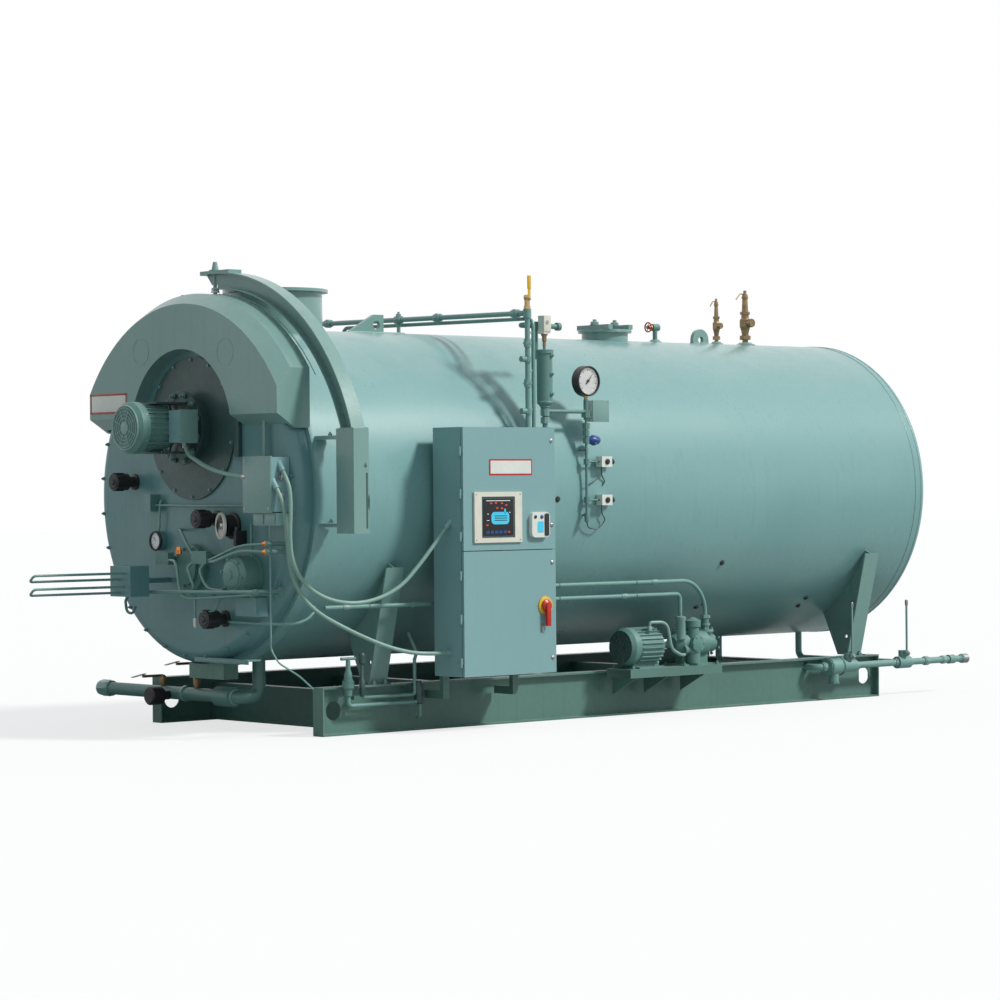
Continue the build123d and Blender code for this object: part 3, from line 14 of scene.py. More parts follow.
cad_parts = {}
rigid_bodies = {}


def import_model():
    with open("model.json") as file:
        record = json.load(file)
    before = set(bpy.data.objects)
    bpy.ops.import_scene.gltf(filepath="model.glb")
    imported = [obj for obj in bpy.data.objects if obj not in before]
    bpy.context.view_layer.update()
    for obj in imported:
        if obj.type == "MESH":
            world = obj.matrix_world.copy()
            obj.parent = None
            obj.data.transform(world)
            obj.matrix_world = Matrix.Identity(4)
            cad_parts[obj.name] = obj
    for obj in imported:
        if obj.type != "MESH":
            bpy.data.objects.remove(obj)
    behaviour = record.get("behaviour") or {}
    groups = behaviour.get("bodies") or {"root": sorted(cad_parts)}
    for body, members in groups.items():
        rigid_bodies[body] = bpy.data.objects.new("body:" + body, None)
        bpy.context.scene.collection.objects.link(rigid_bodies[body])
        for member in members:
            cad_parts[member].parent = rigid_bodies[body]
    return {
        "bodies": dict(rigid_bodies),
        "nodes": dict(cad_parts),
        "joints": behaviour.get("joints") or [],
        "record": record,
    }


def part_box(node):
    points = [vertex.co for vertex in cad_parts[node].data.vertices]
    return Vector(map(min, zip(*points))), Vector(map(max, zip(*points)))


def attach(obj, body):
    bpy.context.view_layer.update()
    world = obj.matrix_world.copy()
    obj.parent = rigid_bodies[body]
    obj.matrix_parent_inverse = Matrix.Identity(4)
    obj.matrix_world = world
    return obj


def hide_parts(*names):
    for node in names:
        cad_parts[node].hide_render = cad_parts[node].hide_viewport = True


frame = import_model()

Point = tuple[float, float, float]
Colour = tuple[float, float, float]
Tree = bpy.types.NodeTree
Socket = bpy.types.NodeSocket
Node = bpy.types.Node
Material = bpy.types.Material
Piece = bpy.types.Object
# Ways that fittings point: the head's end and the rear, the control side and the far side, up and down
FRONT, BACK = (-1, 0, 0), (1, 0, 0)
NEAR, FAR = (0, -1, 0), (0, 1, 0)
UP, DOWN = (0, 0, 1), (0, 0, -1)
LOG = logging.getLogger("boiler")
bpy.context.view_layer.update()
# The shell's radius and axis height, the head's front, where pipes end on it, and how far seats stand off
SHELL_R = 1.0735
SHELL_Z = 1.51
SHELL_TOP = SHELL_Z + SHELL_R
HEAD_X = -2.87
HEAD_FACE = -2.871
SEAT = 0.0005


def srgb(red: int, green: int, blue: int) -> Colour:
    """Turns a colour read off a screen into the linear one that shaders use.

    Args:
        red, green, blue: The colour's parts, from 0 to 255.

    Returns:
        The three linear parts, from 0 to 1.
    """
    parts = [c / 255.0 for c in (red, green, blue)]
    return tuple(c / 12.92 if c <= 0.04045 else ((c + 0.055) / 1.055) ** 2.4 for c in parts)


def shell_half_width(height: float, radius: float = SHELL_R) -> float:
    """Gives how far the shell's side stands from the centre plane at a height.

    Args:
        height: Height above the floor.
        radius: Radius of the surface asked about.

    Returns:
        The distance from the centre plane.
    """
    return math.sqrt(max(radius**2 - (height - SHELL_Z) ** 2, 0.0))


# Shader effects


def link(source: Node, output: str | int, target: Node, label: str | int) -> None:
    """Joins one node to another.

    Args:
        source: The node that gives.
        output: Its output's name or number.
        target: The node that takes.
        label: Its input's name or number.
    """
    source.id_data.links.new(source.outputs[output], target.inputs[label])


def fill(node: Node, **values: object) -> Node:
    """Sets a node's inputs.

    Args:
        node: The node.
        values: Input names, with underscores for spaces, and their values. A colour may lack its alpha.

    Returns:
        The node.
    """
    for label, value in values.items():
        socket = node.inputs[label.replace("_", " ")]
        socket.default_value = (*value, 1.0) if socket.type == "RGBA" and len(value) == 3 else value
    return node


class Effects:
    """The shader node groups that several finishes share, each made once."""

    def __init__(self) -> None:
        """Builds the groups."""
        self.mottle = self._mottle()
        self.edge_wear = self._edge_wear()
        self.dust = self._dust()
        self.runs = self._runs()
        self.peel = self._peel()
        self.brushed = self._brushed()

    @staticmethod
    def _group(name: str, inputs: dict[str, object], outputs: dict[str, str]) -> Tree:
        """Makes an empty node group with named sockets.

        Args:
            name: The group's name.
            inputs: Each input's name and default; a colour for a tuple, a float otherwise.
            outputs: Each output's name and socket type.

        Returns:
            The group, with its input and output nodes.
        """
        tree = bpy.data.node_groups.new(name, "ShaderNodeTree")
        for label, default in inputs.items():
            kind = "NodeSocketColor" if isinstance(default, tuple) else "NodeSocketFloat"
            socket = tree.interface.new_socket(label, in_out="INPUT", socket_type=kind)
            socket.default_value = (*default, 1.0) if isinstance(default, tuple) else default
        for label, kind in outputs.items():
            tree.interface.new_socket(label, in_out="OUTPUT", socket_type=kind)
        tree.nodes.new("NodeGroupInput").name = "in"
        tree.nodes.new("NodeGroupOutput").name = "out"
        return tree

    @staticmethod
    def _noise(tree: Tree, scale: float, detail: float, stretch: Point = (1, 1, 1)) -> Node:
        """Adds a noise texture in the object's own coordinates.

        Args:
            tree: The tree that it goes in.
            scale: The noise's scale.
            detail: The noise's detail.
            stretch: Scale of each axis before the noise.

        Returns:
            The noise node.
        """
        place = tree.nodes.new("ShaderNodeTexCoord")
        mapping = tree.nodes.new("ShaderNodeMapping")
        fill(mapping, Scale=stretch)
        noise = tree.nodes.new("ShaderNodeTexNoise")
        fill(noise, Scale=scale, Detail=detail)
        link(place, "Object", mapping, "Vector")
        link(mapping, "Vector", noise, "Vector")
        return noise

    @staticmethod
    def _ramp(tree: Tree, source: Socket, low: float, high: float) -> Socket:
        """Maps a value's range to 0..1 with a clamp.

        Args:
            tree: The tree that it goes in.
            source: The value.
            low: The value that becomes 0.
            high: The value that becomes 1.

        Returns:
            The mapped value's socket.
        """
        node = tree.nodes.new("ShaderNodeMapRange")
        fill(node, From_Min=low, From_Max=high)
        tree.links.new(source, node.inputs["Value"])
        return node.outputs["Result"]

    @staticmethod
    def _math(tree: Tree, operation: str, first: object, second: object) -> Socket:
        """Adds a math node.

        Args:
            tree: The tree that it goes in.
            operation: The node's operation.
            first: A socket or a number.
            second: A socket or a number.

        Returns:
            The result's socket.
        """
        node = tree.nodes.new("ShaderNodeMath")
        node.operation = operation
        for index, value in enumerate((first, second)):
            if isinstance(value, (int, float)):
                node.inputs[index].default_value = value
            else:
                tree.links.new(value, node.inputs[index])
        return node.outputs["Value"]

    @staticmethod
    def _blend(tree: Tree, share: object, first: object, second: object) -> Socket:
        """Adds a colour mix.

        Args:
            tree: The tree that it goes in.
            share: Socket of the second colour's share.
            first: Socket of the first colour.
            second: Socket of the second colour.

        Returns:
            The mixed colour's socket.
        """
        node = tree.nodes.new("ShaderNodeMix")
        node.data_type = "RGBA"
        tree.links.new(share, node.inputs["Factor"])
        tree.links.new(first, node.inputs["A"])
        tree.links.new(second, node.inputs["B"])
        return node.outputs["Result"]

    def _shade(self, tree: Tree, value: Socket, second: str) -> Tree:
        """Mixes a group's two colours and feeds its outputs.

        Args:
            tree: The group.
            value: How much of the second colour there is, before the group's amount.
            second: Name of the second colour's input.

        Returns:
            The group.
        """
        inside, outside = tree.nodes["in"], tree.nodes["out"]
        share = self._math(tree, "MULTIPLY", value, inside.outputs["Amount"])
        colour = self._blend(tree, share, inside.outputs["Color"], inside.outputs[second])
        for label, socket in (("Color", colour), ("Value", value), ("Mask", share)):
            if label in outside.inputs:
                tree.links.new(socket, outside.inputs[label])
        return tree

    def _mottle(self) -> Tree:
        """Makes the slow change of shade over a painted surface."""
        tree = self._group(
            "mottle",
            {"Color": (0.5, 0.5, 0.5), "Second Color": (0.4, 0.4, 0.4), "Scale": 1.5, "Amount": 0.5},
            {"Color": "NodeSocketColor", "Value": "NodeSocketFloat"},
        )
        inside, outside = tree.nodes["in"], tree.nodes["out"]
        wide = self._noise(tree, 1.5, 3.0)
        fine = self._noise(tree, 24.0, 4.0)
        link(inside, "Scale", wide, "Scale")
        both = self._math(tree, "ADD", wide.outputs["Fac"], self._math(tree, "MULTIPLY", fine.outputs["Fac"], 0.35))
        value = self._ramp(tree, both, 0.48, 0.86)
        return self._shade(tree, value, "Second Color")

    def _edge_wear(self) -> Tree:
        """Makes the mask of paint rubbed thin along edges."""
        tree = self._group(
            "edge_wear",
            {"Color": (0.5, 0.5, 0.5), "Wear Color": (0.5, 0.5, 0.5), "Amount": 0.5},
            {"Color": "NodeSocketColor", "Mask": "NodeSocketFloat"},
        )
        inside, outside = tree.nodes["in"], tree.nodes["out"]
        bevel = tree.nodes.new("ShaderNodeBevel")
        bevel.samples = 3
        fill(bevel, Radius=0.006)
        facing = tree.nodes.new("ShaderNodeNewGeometry")
        dot = tree.nodes.new("ShaderNodeVectorMath")
        dot.operation = "DOT_PRODUCT"
        link(bevel, "Normal", dot, 0)
        link(facing, "Normal", dot, 1)
        edge = self._ramp(tree, dot.outputs["Value"], 0.995, 0.86)
        broken = self._ramp(tree, self._noise(tree, 60.0, 6.0).outputs["Fac"], 0.42, 0.62)
        return self._shade(tree, self._math(tree, "MULTIPLY", edge, broken), "Wear Color")

    def _dust(self) -> Tree:
        """Makes the thin dust that settles on faces that look up."""
        tree = self._group(
            "dust",
            {"Color": (0.5, 0.5, 0.5), "Dust Color": (0.5, 0.48, 0.44), "Amount": 0.3},
            {"Color": "NodeSocketColor", "Mask": "NodeSocketFloat"},
        )
        inside, outside = tree.nodes["in"], tree.nodes["out"]
        facing = tree.nodes.new("ShaderNodeNewGeometry")
        apart = tree.nodes.new("ShaderNodeSeparateXYZ")
        link(facing, "Normal", apart, "Vector")
        up = self._ramp(tree, apart.outputs["Z"], 0.55, 1.0)
        patch = self._ramp(tree, self._noise(tree, 5.0, 7.0).outputs["Fac"], 0.35, 0.75)
        return self._shade(tree, self._math(tree, "MULTIPLY", up, patch), "Dust Color")

    def _runs(self) -> Tree:
        """Makes the faint vertical marks that rain leaves on a painted side."""
        tree = self._group(
            "run_marks",
            {"Color": (0.5, 0.5, 0.5), "Mark Color": (0.3, 0.3, 0.3), "Amount": 0.2},
            {"Color": "NodeSocketColor"},
        )
        inside, outside = tree.nodes["in"], tree.nodes["out"]
        streak = self._noise(tree, 1.0, 4.0, (26.0, 26.0, 0.9))
        mask = self._ramp(tree, streak.outputs["Fac"], 0.56, 0.78)
        return self._shade(tree, mask, "Mark Color")

    def _peel(self) -> Tree:
        """Makes the height of sprayed paint or of a cast skin."""
        tree = self._group("surface_height", {"Scale": 300.0, "Waviness": 0.3}, {"Height": "NodeSocketFloat"})
        inside, outside = tree.nodes["in"], tree.nodes["out"]
        fine = self._noise(tree, 300.0, 2.0)
        link(inside, "Scale", fine, "Scale")
        wave = self._noise(tree, 3.5, 1.0)
        low = self._math(tree, "MULTIPLY", wave.outputs["Fac"], inside.outputs["Waviness"])
        tree.links.new(self._math(tree, "ADD", fine.outputs["Fac"], low), outside.inputs["Height"])
        return tree

    def _brushed(self) -> Tree:
        """Makes the tool marks and tarnish of bare metal."""
        tree = self._group(
            "bare_metal",
            {"Color": (0.5, 0.5, 0.5), "Tarnish Color": (0.2, 0.2, 0.2), "Amount": 0.5},
            {"Color": "NodeSocketColor", "Value": "NodeSocketFloat"},
        )
        inside, outside = tree.nodes["in"], tree.nodes["out"]
        lines = self._noise(tree, 40.0, 3.0, (1.0, 1.0, 12.0))
        patch = self._noise(tree, 18.0, 6.0)
        value = self._ramp(tree, self._math(tree, "ADD", lines.outputs["Fac"], patch.outputs["Fac"]), 0.8, 1.3)
        return self._shade(tree, value, "Tarnish Color")


# Finishes


def group_node(tree: Tree, group: Tree, **values: object) -> Node:
    """Places a node group in a material.

    Args:
        tree: The material's node tree.
        group: The group.
        values: Input names, with underscores for spaces, and their values.

    Returns:
        The group's node.
    """
    node = tree.nodes.new("ShaderNodeGroup")
    node.node_tree = group
    return fill(node, **values)


def new_material(name: str) -> tuple[Material, Node]:
    """Makes an empty material with a Principled shader.

    Args:
        name: The material's name.

    Returns:
        The material and its shader node.
    """
    material = bpy.data.materials.new(name)
    material.use_nodes = True
    return material, material.node_tree.nodes["Principled BSDF"]


def add_bump(tree: Tree, shader: Node, height: Socket, depth: float) -> None:
    """Feeds a height to the shader's normal.

    Args:
        tree: The material's node tree.
        shader: The Principled shader.
        height: The height's socket.
        depth: Depth of the relief in metres.
    """
    bump = tree.nodes.new("ShaderNodeBump")
    fill(bump, Strength=0.6, Distance=depth)
    tree.links.new(height, bump.inputs["Height"])
    link(bump, "Normal", shader, "Normal")


def vary_roughness(tree: Tree, shader: Node, value: Socket, low: float, high: float) -> None:
    """Makes the shader's roughness follow a value.

    Args:
        tree: The material's node tree.
        shader: The Principled shader.
        value: The value's socket, from 0 to 1.
        low: Roughness where the value is 0.
        high: Roughness where the value is 1.
    """
    node = tree.nodes.new("ShaderNodeMapRange")
    fill(node, To_Min=low, To_Max=high)
    tree.links.new(value, node.inputs["Value"])
    link(node, "Result", shader, "Roughness")


@dataclass(frozen=True)
class Enamel:
    """Sprayed machine enamel over steel or a casting."""

    name: str
    colour: Colour
    second: Colour
    rough: tuple[float, float] = (0.26, 0.4)
    wear: Colour = (0.42, 0.52, 0.5)
    wear_amount: float = 0.5
    dust: float = 0.25
    runs: float = 0.25
    mottle_scale: float = 1.2
    peel_scale: float = 260.0
    depth: float = 0.0004
    waviness: float = 2.0
    coat: float = 0.25

    def make(self, effects: Effects) -> Material:
        """Builds the material.

        Args:
            effects: The shared node groups.

        Returns:
            The material.
        """
        material, shader = new_material(self.name)
        tree = material.node_tree
        mottle = group_node(
            tree, effects.mottle, Color=self.colour, Second_Color=self.second, Scale=self.mottle_scale, Amount=0.75
        )
        dark = tuple(c * 0.62 for c in self.colour)
        runs = group_node(tree, effects.runs, Mark_Color=dark, Amount=self.runs)
        dust = group_node(tree, effects.dust, Dust_Color=(0.5, 0.52, 0.5), Amount=self.dust)
        wear = group_node(tree, effects.edge_wear, Wear_Color=self.wear, Amount=self.wear_amount)
        link(mottle, "Color", runs, "Color")
        link(runs, "Color", dust, "Color")
        link(dust, "Color", wear, "Color")
        link(wear, "Color", shader, "Base Color")
        vary_roughness(tree, shader, mottle.outputs["Value"], *self.rough)
        peel = group_node(tree, effects.peel, Scale=self.peel_scale, Waviness=self.waviness)
        add_bump(tree, shader, peel.outputs["Height"], self.depth)
        fill(shader, Coat_Weight=self.coat, Coat_Roughness=0.18)
        return material


@dataclass(frozen=True)
class BareMetal:
    """Machined or cast metal without paint."""

    name: str
    colour: Colour
    tarnish: Colour
    rough: tuple[float, float] = (0.25, 0.5)
    depth: float = 0.0003
    metallic: float = 1.0

    def make(self, effects: Effects) -> Material:
        """Builds the material.

        Args:
            effects: The shared node groups.

        Returns:
            The material.
        """
        material, shader = new_material(self.name)
        tree = material.node_tree
        metal = group_node(tree, effects.brushed, Color=self.colour, Tarnish_Color=self.tarnish, Amount=0.7)
        link(metal, "Color", shader, "Base Color")
        fill(shader, Metallic=self.metallic)
        vary_roughness(tree, shader, metal.outputs["Value"], *self.rough)
        peel = group_node(tree, effects.peel, Scale=420.0, Waviness=0.2)
        add_bump(tree, shader, peel.outputs["Height"], self.depth)
        return material


@dataclass(frozen=True)
class Moulded:
    """Moulded plastic or rubber, or a printed sheet."""

    name: str
    colour: Colour
    rough: tuple[float, float] = (0.35, 0.5)
    grain: float = 500.0
    depth: float = 0.0002
    glow: float = 0.0

    def make(self, effects: Effects) -> Material:
        """Builds the material.

        Args:
            effects: The shared node groups.

        Returns:
            The material.
        """
        material, shader = new_material(self.name)
        tree = material.node_tree
        darker = tuple(c * 0.82 for c in self.colour)
        mottle = group_node(tree, effects.mottle, Color=self.colour, Second_Color=darker, Scale=6.0, Amount=0.6)
        link(mottle, "Color", shader, "Base Color")
        vary_roughness(tree, shader, mottle.outputs["Value"], *self.rough)
        peel = group_node(tree, effects.peel, Scale=self.grain, Waviness=0.1)
        add_bump(tree, shader, peel.outputs["Height"], self.depth)
        if self.glow:
            link(mottle, "Color", shader, "Emission Color")
            fill(shader, Emission_Strength=self.glow)
        return material


@dataclass(frozen=True)
class ClearGlass:
    """The flat glass in front of a dial."""

    name: str

    def make(self, effects: Effects) -> Material:
        """Builds the material.

        Args:
            effects: The shared node groups.

        Returns:
            The material.
        """
        material, shader = new_material(self.name)
        tree = material.node_tree
        mottle = group_node(tree, effects.mottle, Color=(1.0, 1.0, 1.0), Second_Color=(0.96, 0.98, 0.98), Scale=8.0)
        link(mottle, "Color", shader, "Base Color")
        vary_roughness(tree, shader, mottle.outputs["Value"], 0.02, 0.06)
        fill(shader, Transmission_Weight=1.0, IOR=1.1)
        return material


SAGE = srgb(122, 158, 153)
SAGE_SECOND = srgb(112, 149, 145)


class Finish(Enum):
    """Every finish on the boiler."""

    JACKET = Enamel("jacket_enamel", srgb(124, 167, 166), srgb(113, 157, 157), rough=(0.26, 0.38), wear_amount=0.15)
    SAGE = Enamel("sage_enamel", SAGE, SAGE_SECOND)
    CABINET = Enamel(
        "cabinet_enamel", srgb(129, 167, 169), srgb(122, 161, 164), rough=(0.34, 0.44), runs=0.08, dust=0.2,
        waviness=0.6, wear_amount=0.35,
    )
    # The head's sage is a darker copy of the jacket's: painted shade for the head, which faces away from the sun.
    HEAD = Enamel("head_enamel_painted_shade", srgb(96, 140, 142), srgb(84, 128, 131), rough=(0.32, 0.5), runs=0.35)
    # Dark enamel: the real colour of dark parts such as seams, leads and valves. On the fan plate, the pump's fan face,
    # the arch strip and the davit's slit it is painted shade.
    DARK = Enamel(
        "dark_and_painted_shade_enamel", srgb(52, 84, 82), srgb(38, 66, 65), rough=(0.4, 0.6), runs=0.3, wear_amount=0.15, dust=0.1
    )
    CAST = Enamel(
        "cast_enamel", srgb(96, 138, 132), srgb(82, 124, 119), rough=(0.4, 0.58), peel_scale=120.0, depth=0.0012,
        waviness=0.3, coat=0.1,
    )
    RAIL = Enamel(
        "skid_enamel", srgb(86, 126, 115), srgb(72, 110, 101), rough=(0.4, 0.58), runs=0.5, dust=0.5, depth=0.0006,
        wear=(0.3, 0.36, 0.33), wear_amount=0.7,
    )
    PIPE = Enamel("pipe_enamel", srgb(112, 155, 149), srgb(100, 143, 138), rough=(0.3, 0.45), mottle_scale=5.0)
    CONDUIT = Moulded("conduit_jacket", srgb(134, 168, 158), rough=(0.38, 0.5), grain=220.0, depth=0.0005)
    HOSE = Moulded("hose_jacket", srgb(112, 158, 148), rough=(0.34, 0.48), grain=300.0, depth=0.0004)
    STEEL = BareMetal("plain_steel", (0.46, 0.47, 0.48), (0.2, 0.19, 0.18))
    BRASS = BareMetal("valve_brass", (0.62, 0.43, 0.2), (0.26, 0.17, 0.1), rough=(0.28, 0.5))
    BRONZE = BareMetal("cast_bronze", (0.33, 0.24, 0.14), (0.12, 0.09, 0.06), rough=(0.35, 0.62), depth=0.0012)
    COPPER = BareMetal("flare_fitting", (0.85, 0.3, 0.08), (0.5, 0.16, 0.06), rough=(0.3, 0.45))
    BLACK = Moulded("black_moulding", (0.016, 0.016, 0.018), rough=(0.38, 0.55))
    RUBBER = Moulded("dark_rubber", (0.03, 0.032, 0.034), rough=(0.6, 0.8), grain=180.0, depth=0.0006)
    WHITE = Moulded("white_moulding", srgb(226, 228, 222), rough=(0.3, 0.42))
    IVORY = Moulded("ivory_bezel", srgb(224, 220, 208), rough=(0.34, 0.46))
    RED = Moulded("red_moulding", srgb(190, 40, 28), rough=(0.3, 0.42))
    YELLOW = Moulded("yellow_moulding", srgb(222, 176, 36), rough=(0.32, 0.45))
    BLUE = Moulded("blue_cap", srgb(28, 74, 140), rough=(0.35, 0.5))
    # The dial cards glow faintly though they are no lamp: a painted brightening of the dial faces.
    DIAL = Moulded("dial_card_painted_glow", srgb(236, 238, 236), rough=(0.4, 0.5), glow=0.05)
    SCREEN = Moulded("screen_black", (0.006, 0.008, 0.012), rough=(0.08, 0.16), depth=0.00005)
    LIT_CYAN = Moulded("lit_cyan", srgb(60, 170, 200), glow=0.5)
    LIT_WHITE = Moulded("lit_white", srgb(210, 220, 224), glow=0.4)
    LIT_RED = Moulded("lit_red", srgb(200, 60, 40), glow=0.4)
    GLASS = ClearGlass("dial_glass")


class PaintShop:
    """Makes each material once and gives it out."""

    def __init__(self) -> None:
        """Builds the shared effects."""
        self.effects = Effects()
        self.made: dict[Finish, Material] = {}

    def mix(self, finish: Finish) -> Material:
        """Gives the material of a finish.

        Args:
            finish: The finish.

        Returns:
            Its material.
        """
        if finish not in self.made:
            self.made[finish] = finish.value.make(self.effects)
        return self.made[finish]


# Shapes


def across(direction: Vector) -> tuple[Vector, Vector]:
    """Gives two unit vectors square to a direction and to each other.

    Args:
        direction: The direction.

    Returns:
        The two vectors.
    """
    unit = direction.normalized()
    helper = Vector(UP) if abs(unit.z) < 0.9 else Vector(BACK)
    side = unit.cross(helper).normalized()
    return side, side.cross(unit).normalized()


def circle_places(
    count: int, radius: float, centre: tuple[float, float], turn: float = 0.0
) -> list[tuple[float, float]]:
    """Gives places spread evenly round a circle.

    Args:
        count: How many.
        radius: The circle's radius.
        centre: The circle's centre in its plane.
        turn: The first place's angle in degrees.

    Returns:
        The places in the plane.
    """
    angles = [math.radians(turn + 360.0 * i / count) for i in range(count)]
    return [(centre[0] + radius * math.cos(a), centre[1] + radius * math.sin(a)) for a in angles]


def round_points(centre: Vector, first: Vector, second: Vector, radius: float, count: int) -> list[Vector]:
    """Spaces points evenly round a circle.

    Args:
        centre: The circle's centre.
        first: Direction of its first point.
        second: The direction at right angles to it, in the circle.
        radius: The circle's radius.
        count: How many points.

    Returns:
        The points.
    """
    angles = [2 * math.pi * i / count for i in range(count)]
    return [centre + (first * math.cos(a) + second * math.sin(a)) * radius for a in angles]


class Blank:
    """A mesh in the making, which becomes one piece of the scene."""

    def __init__(self, name: str) -> None:
        """Starts an empty mesh.

        Args:
            name: The piece's name.
        """
        self.name = name
        self.mesh = bmesh.new()

    def box(self, low: Point, high: Point, edge: float = 0.002) -> "Blank":
        """Adds a block with softened edges.

        Args:
            low: Lowest corner.
            high: Highest corner.
            edge: Width of the edge's softening.

        Returns:
            This blank.
        """
        size = [b - a for a, b in zip(low, high)]
        centre = [(a + b) / 2 for a, b in zip(low, high)]
        matrix = Matrix.Translation(centre) @ Matrix.Diagonal((*size, 1.0))
        made = bmesh.ops.create_cube(self.mesh, size=1.0, matrix=matrix)
        edges = list({e for v in made["verts"] for e in v.link_edges})
        width = min(edge, min(size) * 0.3)
        if width > 0:
            bmesh.ops.bevel(self.mesh, geom=edges, offset=width, segments=2, profile=0.6, affect="EDGES")
        return self

    def turned(self, origin: Point, along: Point, profile: Sequence[tuple[float, float]], sides: int = 28) -> "Blank":
        """Adds a turned shape.

        Args:
            origin: Where the profile's distance is 0.
            along: The axis.
            profile: (distance along the axis, radius) of each ring.
            sides: Sides round it.

        Returns:
            This blank.
        """
        axis = Vector(along).normalized()
        first, second = across(axis)
        rings = []
        for distance, radius in profile:
            centre = Vector(origin) + axis * distance
            if radius < 1e-6:
                rings.append([self.mesh.verts.new(centre)])
                continue
            rings.append([self.mesh.verts.new(p) for p in round_points(centre, first, second, radius, sides)])
        for lower, upper in zip(rings, rings[1:]):
            self._bridge(lower, upper, sides)
        for ring, flip in ((rings[0], True), (rings[-1], False)):
            if len(ring) > 2:
                self.mesh.faces.new(list(reversed(ring)) if flip else ring)
        return self

    def rod(self, origin: Point, along: Point, radius: float, length: float, sides: int = 28) -> "Blank":
        """Adds a straight round bar.

        Args:
            origin: The middle of its first end.
            along: The axis.
            radius: Its radius.
            length: Its length.
            sides: Sides round it.

        Returns:
            This blank.
        """
        return self.turned(origin, along, [(0, radius), (length, radius)], sides)

    def _bridge(self, lower: list, upper: list, sides: int) -> None:
        """Joins two rings of vertices with faces.

        Args:
            lower: First ring, or a single point.
            upper: Second ring, or a single point.
            sides: Sides round them.
        """
        for i in range(sides):
            j = (i + 1) % sides
            if len(lower) == 1 and len(upper) == 1:
                return
            if len(lower) == 1:
                self.mesh.faces.new((lower[0], upper[j], upper[i]))
            elif len(upper) == 1:
                self.mesh.faces.new((lower[i], lower[j], upper[0]))
            else:
                self.mesh.faces.new((lower[i], lower[j], upper[j], upper[i]))

    def nut(self, at: Point, along: Point, radius: float, height: float, stud: float = 0.0) -> "Blank":
        """Adds a washer with a chamfered hexagon nut or bolt head on it.

        Args:
            at: The middle of its seat.
            along: The way that it points.
            radius: Radius over the hexagon's corners.
            height: The hexagon's height.
            stud: How far a stud end stands above it.

        Returns:
            This blank.
        """
        washer = height * 0.16
        self.rod(at, along, radius * 1.15, washer, 16)
        seat = Vector(at) + Vector(along).normalized() * washer
        self.turned(
            tuple(seat), along, [
                (0, radius), (height * 0.8, radius), (height * 0.95, radius * 0.86), (height * 0.95, 0)
            ], 6
        )
        if stud > 0:
            tip = height + stud
            self.turned(tuple(seat), along, [(height * 0.9, radius * 0.48), (tip, radius * 0.48), (tip + 0.002, 0)], 10)
        return self

    def ring(self, centre: Point, along: Point, radius: float, wire: float, sides: int = 32) -> "Blank":
        """Adds a round ring of wire.

        Args:
            centre: The ring's centre.
            along: Its axis.
            radius: Radius of the wire's middle.
            wire: The wire's radius.
            sides: Steps round the ring.

        Returns:
            This blank.
        """
        line = round_points(Vector(centre), *across(Vector(along)), radius, sides)
        return self._sweep(line, wire, 10, closed=True)

    def pipe(self, points: Iterable[Point], radius: float, bend: float = 0.04, sides: int = 12) -> "Blank":
        """Adds a rigid pipe with bends at its corners.

        Args:
            points: Its ends and corners.
            radius: The pipe's radius.
            bend: Radius of its bends.
            sides: Sides round it.

        Returns:
            This blank.
        """
        corners = [Vector(p) for p in points]
        line = [corners[0]]
        for before, corner, after in zip(corners, corners[1:], corners[2:]):
            inward, outward = (before - corner), (after - corner)
            cut = min(bend, inward.length * 0.45, outward.length * 0.45)
            start, end = corner + inward.normalized() * cut, corner + outward.normalized() * cut
            for i in range(7):
                t = i / 6
                line.append(start * (1 - t) ** 2 + corner * 2 * t * (1 - t) + end * t**2)
        line.append(corners[-1])
        return self._sweep(line, radius, sides, closed=False)

    def _sweep(self, line: list[Vector], radius: float, sides: int, closed: bool) -> "Blank":
        """Sweeps a circle along a line.

        Args:
            line: The line's points.
            radius: The circle's radius.
            sides: Sides round it.
            closed: Whether the line closes on itself.

        Returns:
            This blank.
        """
        count = len(line)
        rings = []
        side = None
        for i, point in enumerate(line):
            before = line[i - 1] if i or closed else point
            after = line[(i + 1) % count] if i < count - 1 or closed else point
            heading = (after - before).normalized()
            if side is None:
                side = across(heading)[0]
            side = (side - heading * side.dot(heading)).normalized()
            other = heading.cross(side)
            rings.append([self.mesh.verts.new(p) for p in round_points(point, side, other, radius, sides)])
        pairs = list(zip(rings, rings[1:]))
        if closed:
            pairs.append((rings[-1], rings[0]))
        for lower, upper in pairs:
            self._bridge(lower, upper, sides)
        if not closed:
            self.mesh.faces.new(list(reversed(rings[0])))
            self.mesh.faces.new(rings[-1])
        return self

    def plate(self, outline: Sequence[Point], push: Point) -> "Blank":
        """Adds a flat plate.

        Args:
            outline: Its corners in order.
            push: Its thickness as a vector.

        Returns:
            This blank.
        """
        lower = [self.mesh.verts.new(p) for p in outline]
        upper = [self.mesh.verts.new(Vector(p) + Vector(push)) for p in outline]
        self.mesh.faces.new(list(reversed(lower)))
        self.mesh.faces.new(upper)
        self._bridge(lower, upper, len(lower))
        return self

    def panel(self, centre: Point, size: tuple[float, float], depth: float, corner: float) -> "Blank":
        """Adds a sheet with round corners, whose face looks to the control side.

        Args:
            centre: The middle of its back.
            size: Its width along X and its height.
            depth: Its thickness.
            corner: Radius of its corners.

        Returns:
            This blank.
        """
        half_x, half_z = size[0] / 2 - corner, size[1] / 2 - corner
        outline = []
        for turn, (sx, sz) in enumerate(((1, 1), (-1, 1), (-1, -1), (1, -1))):
            for i in range(6):
                angle = math.radians(turn * 90 + i * 18)
                x = centre[0] + sx * half_x + corner * math.cos(angle)
                z = centre[2] + sz * half_z + corner * math.sin(angle)
                outline.append((x, centre[1], z))
        return self.plate(outline, (0, -depth, 0))

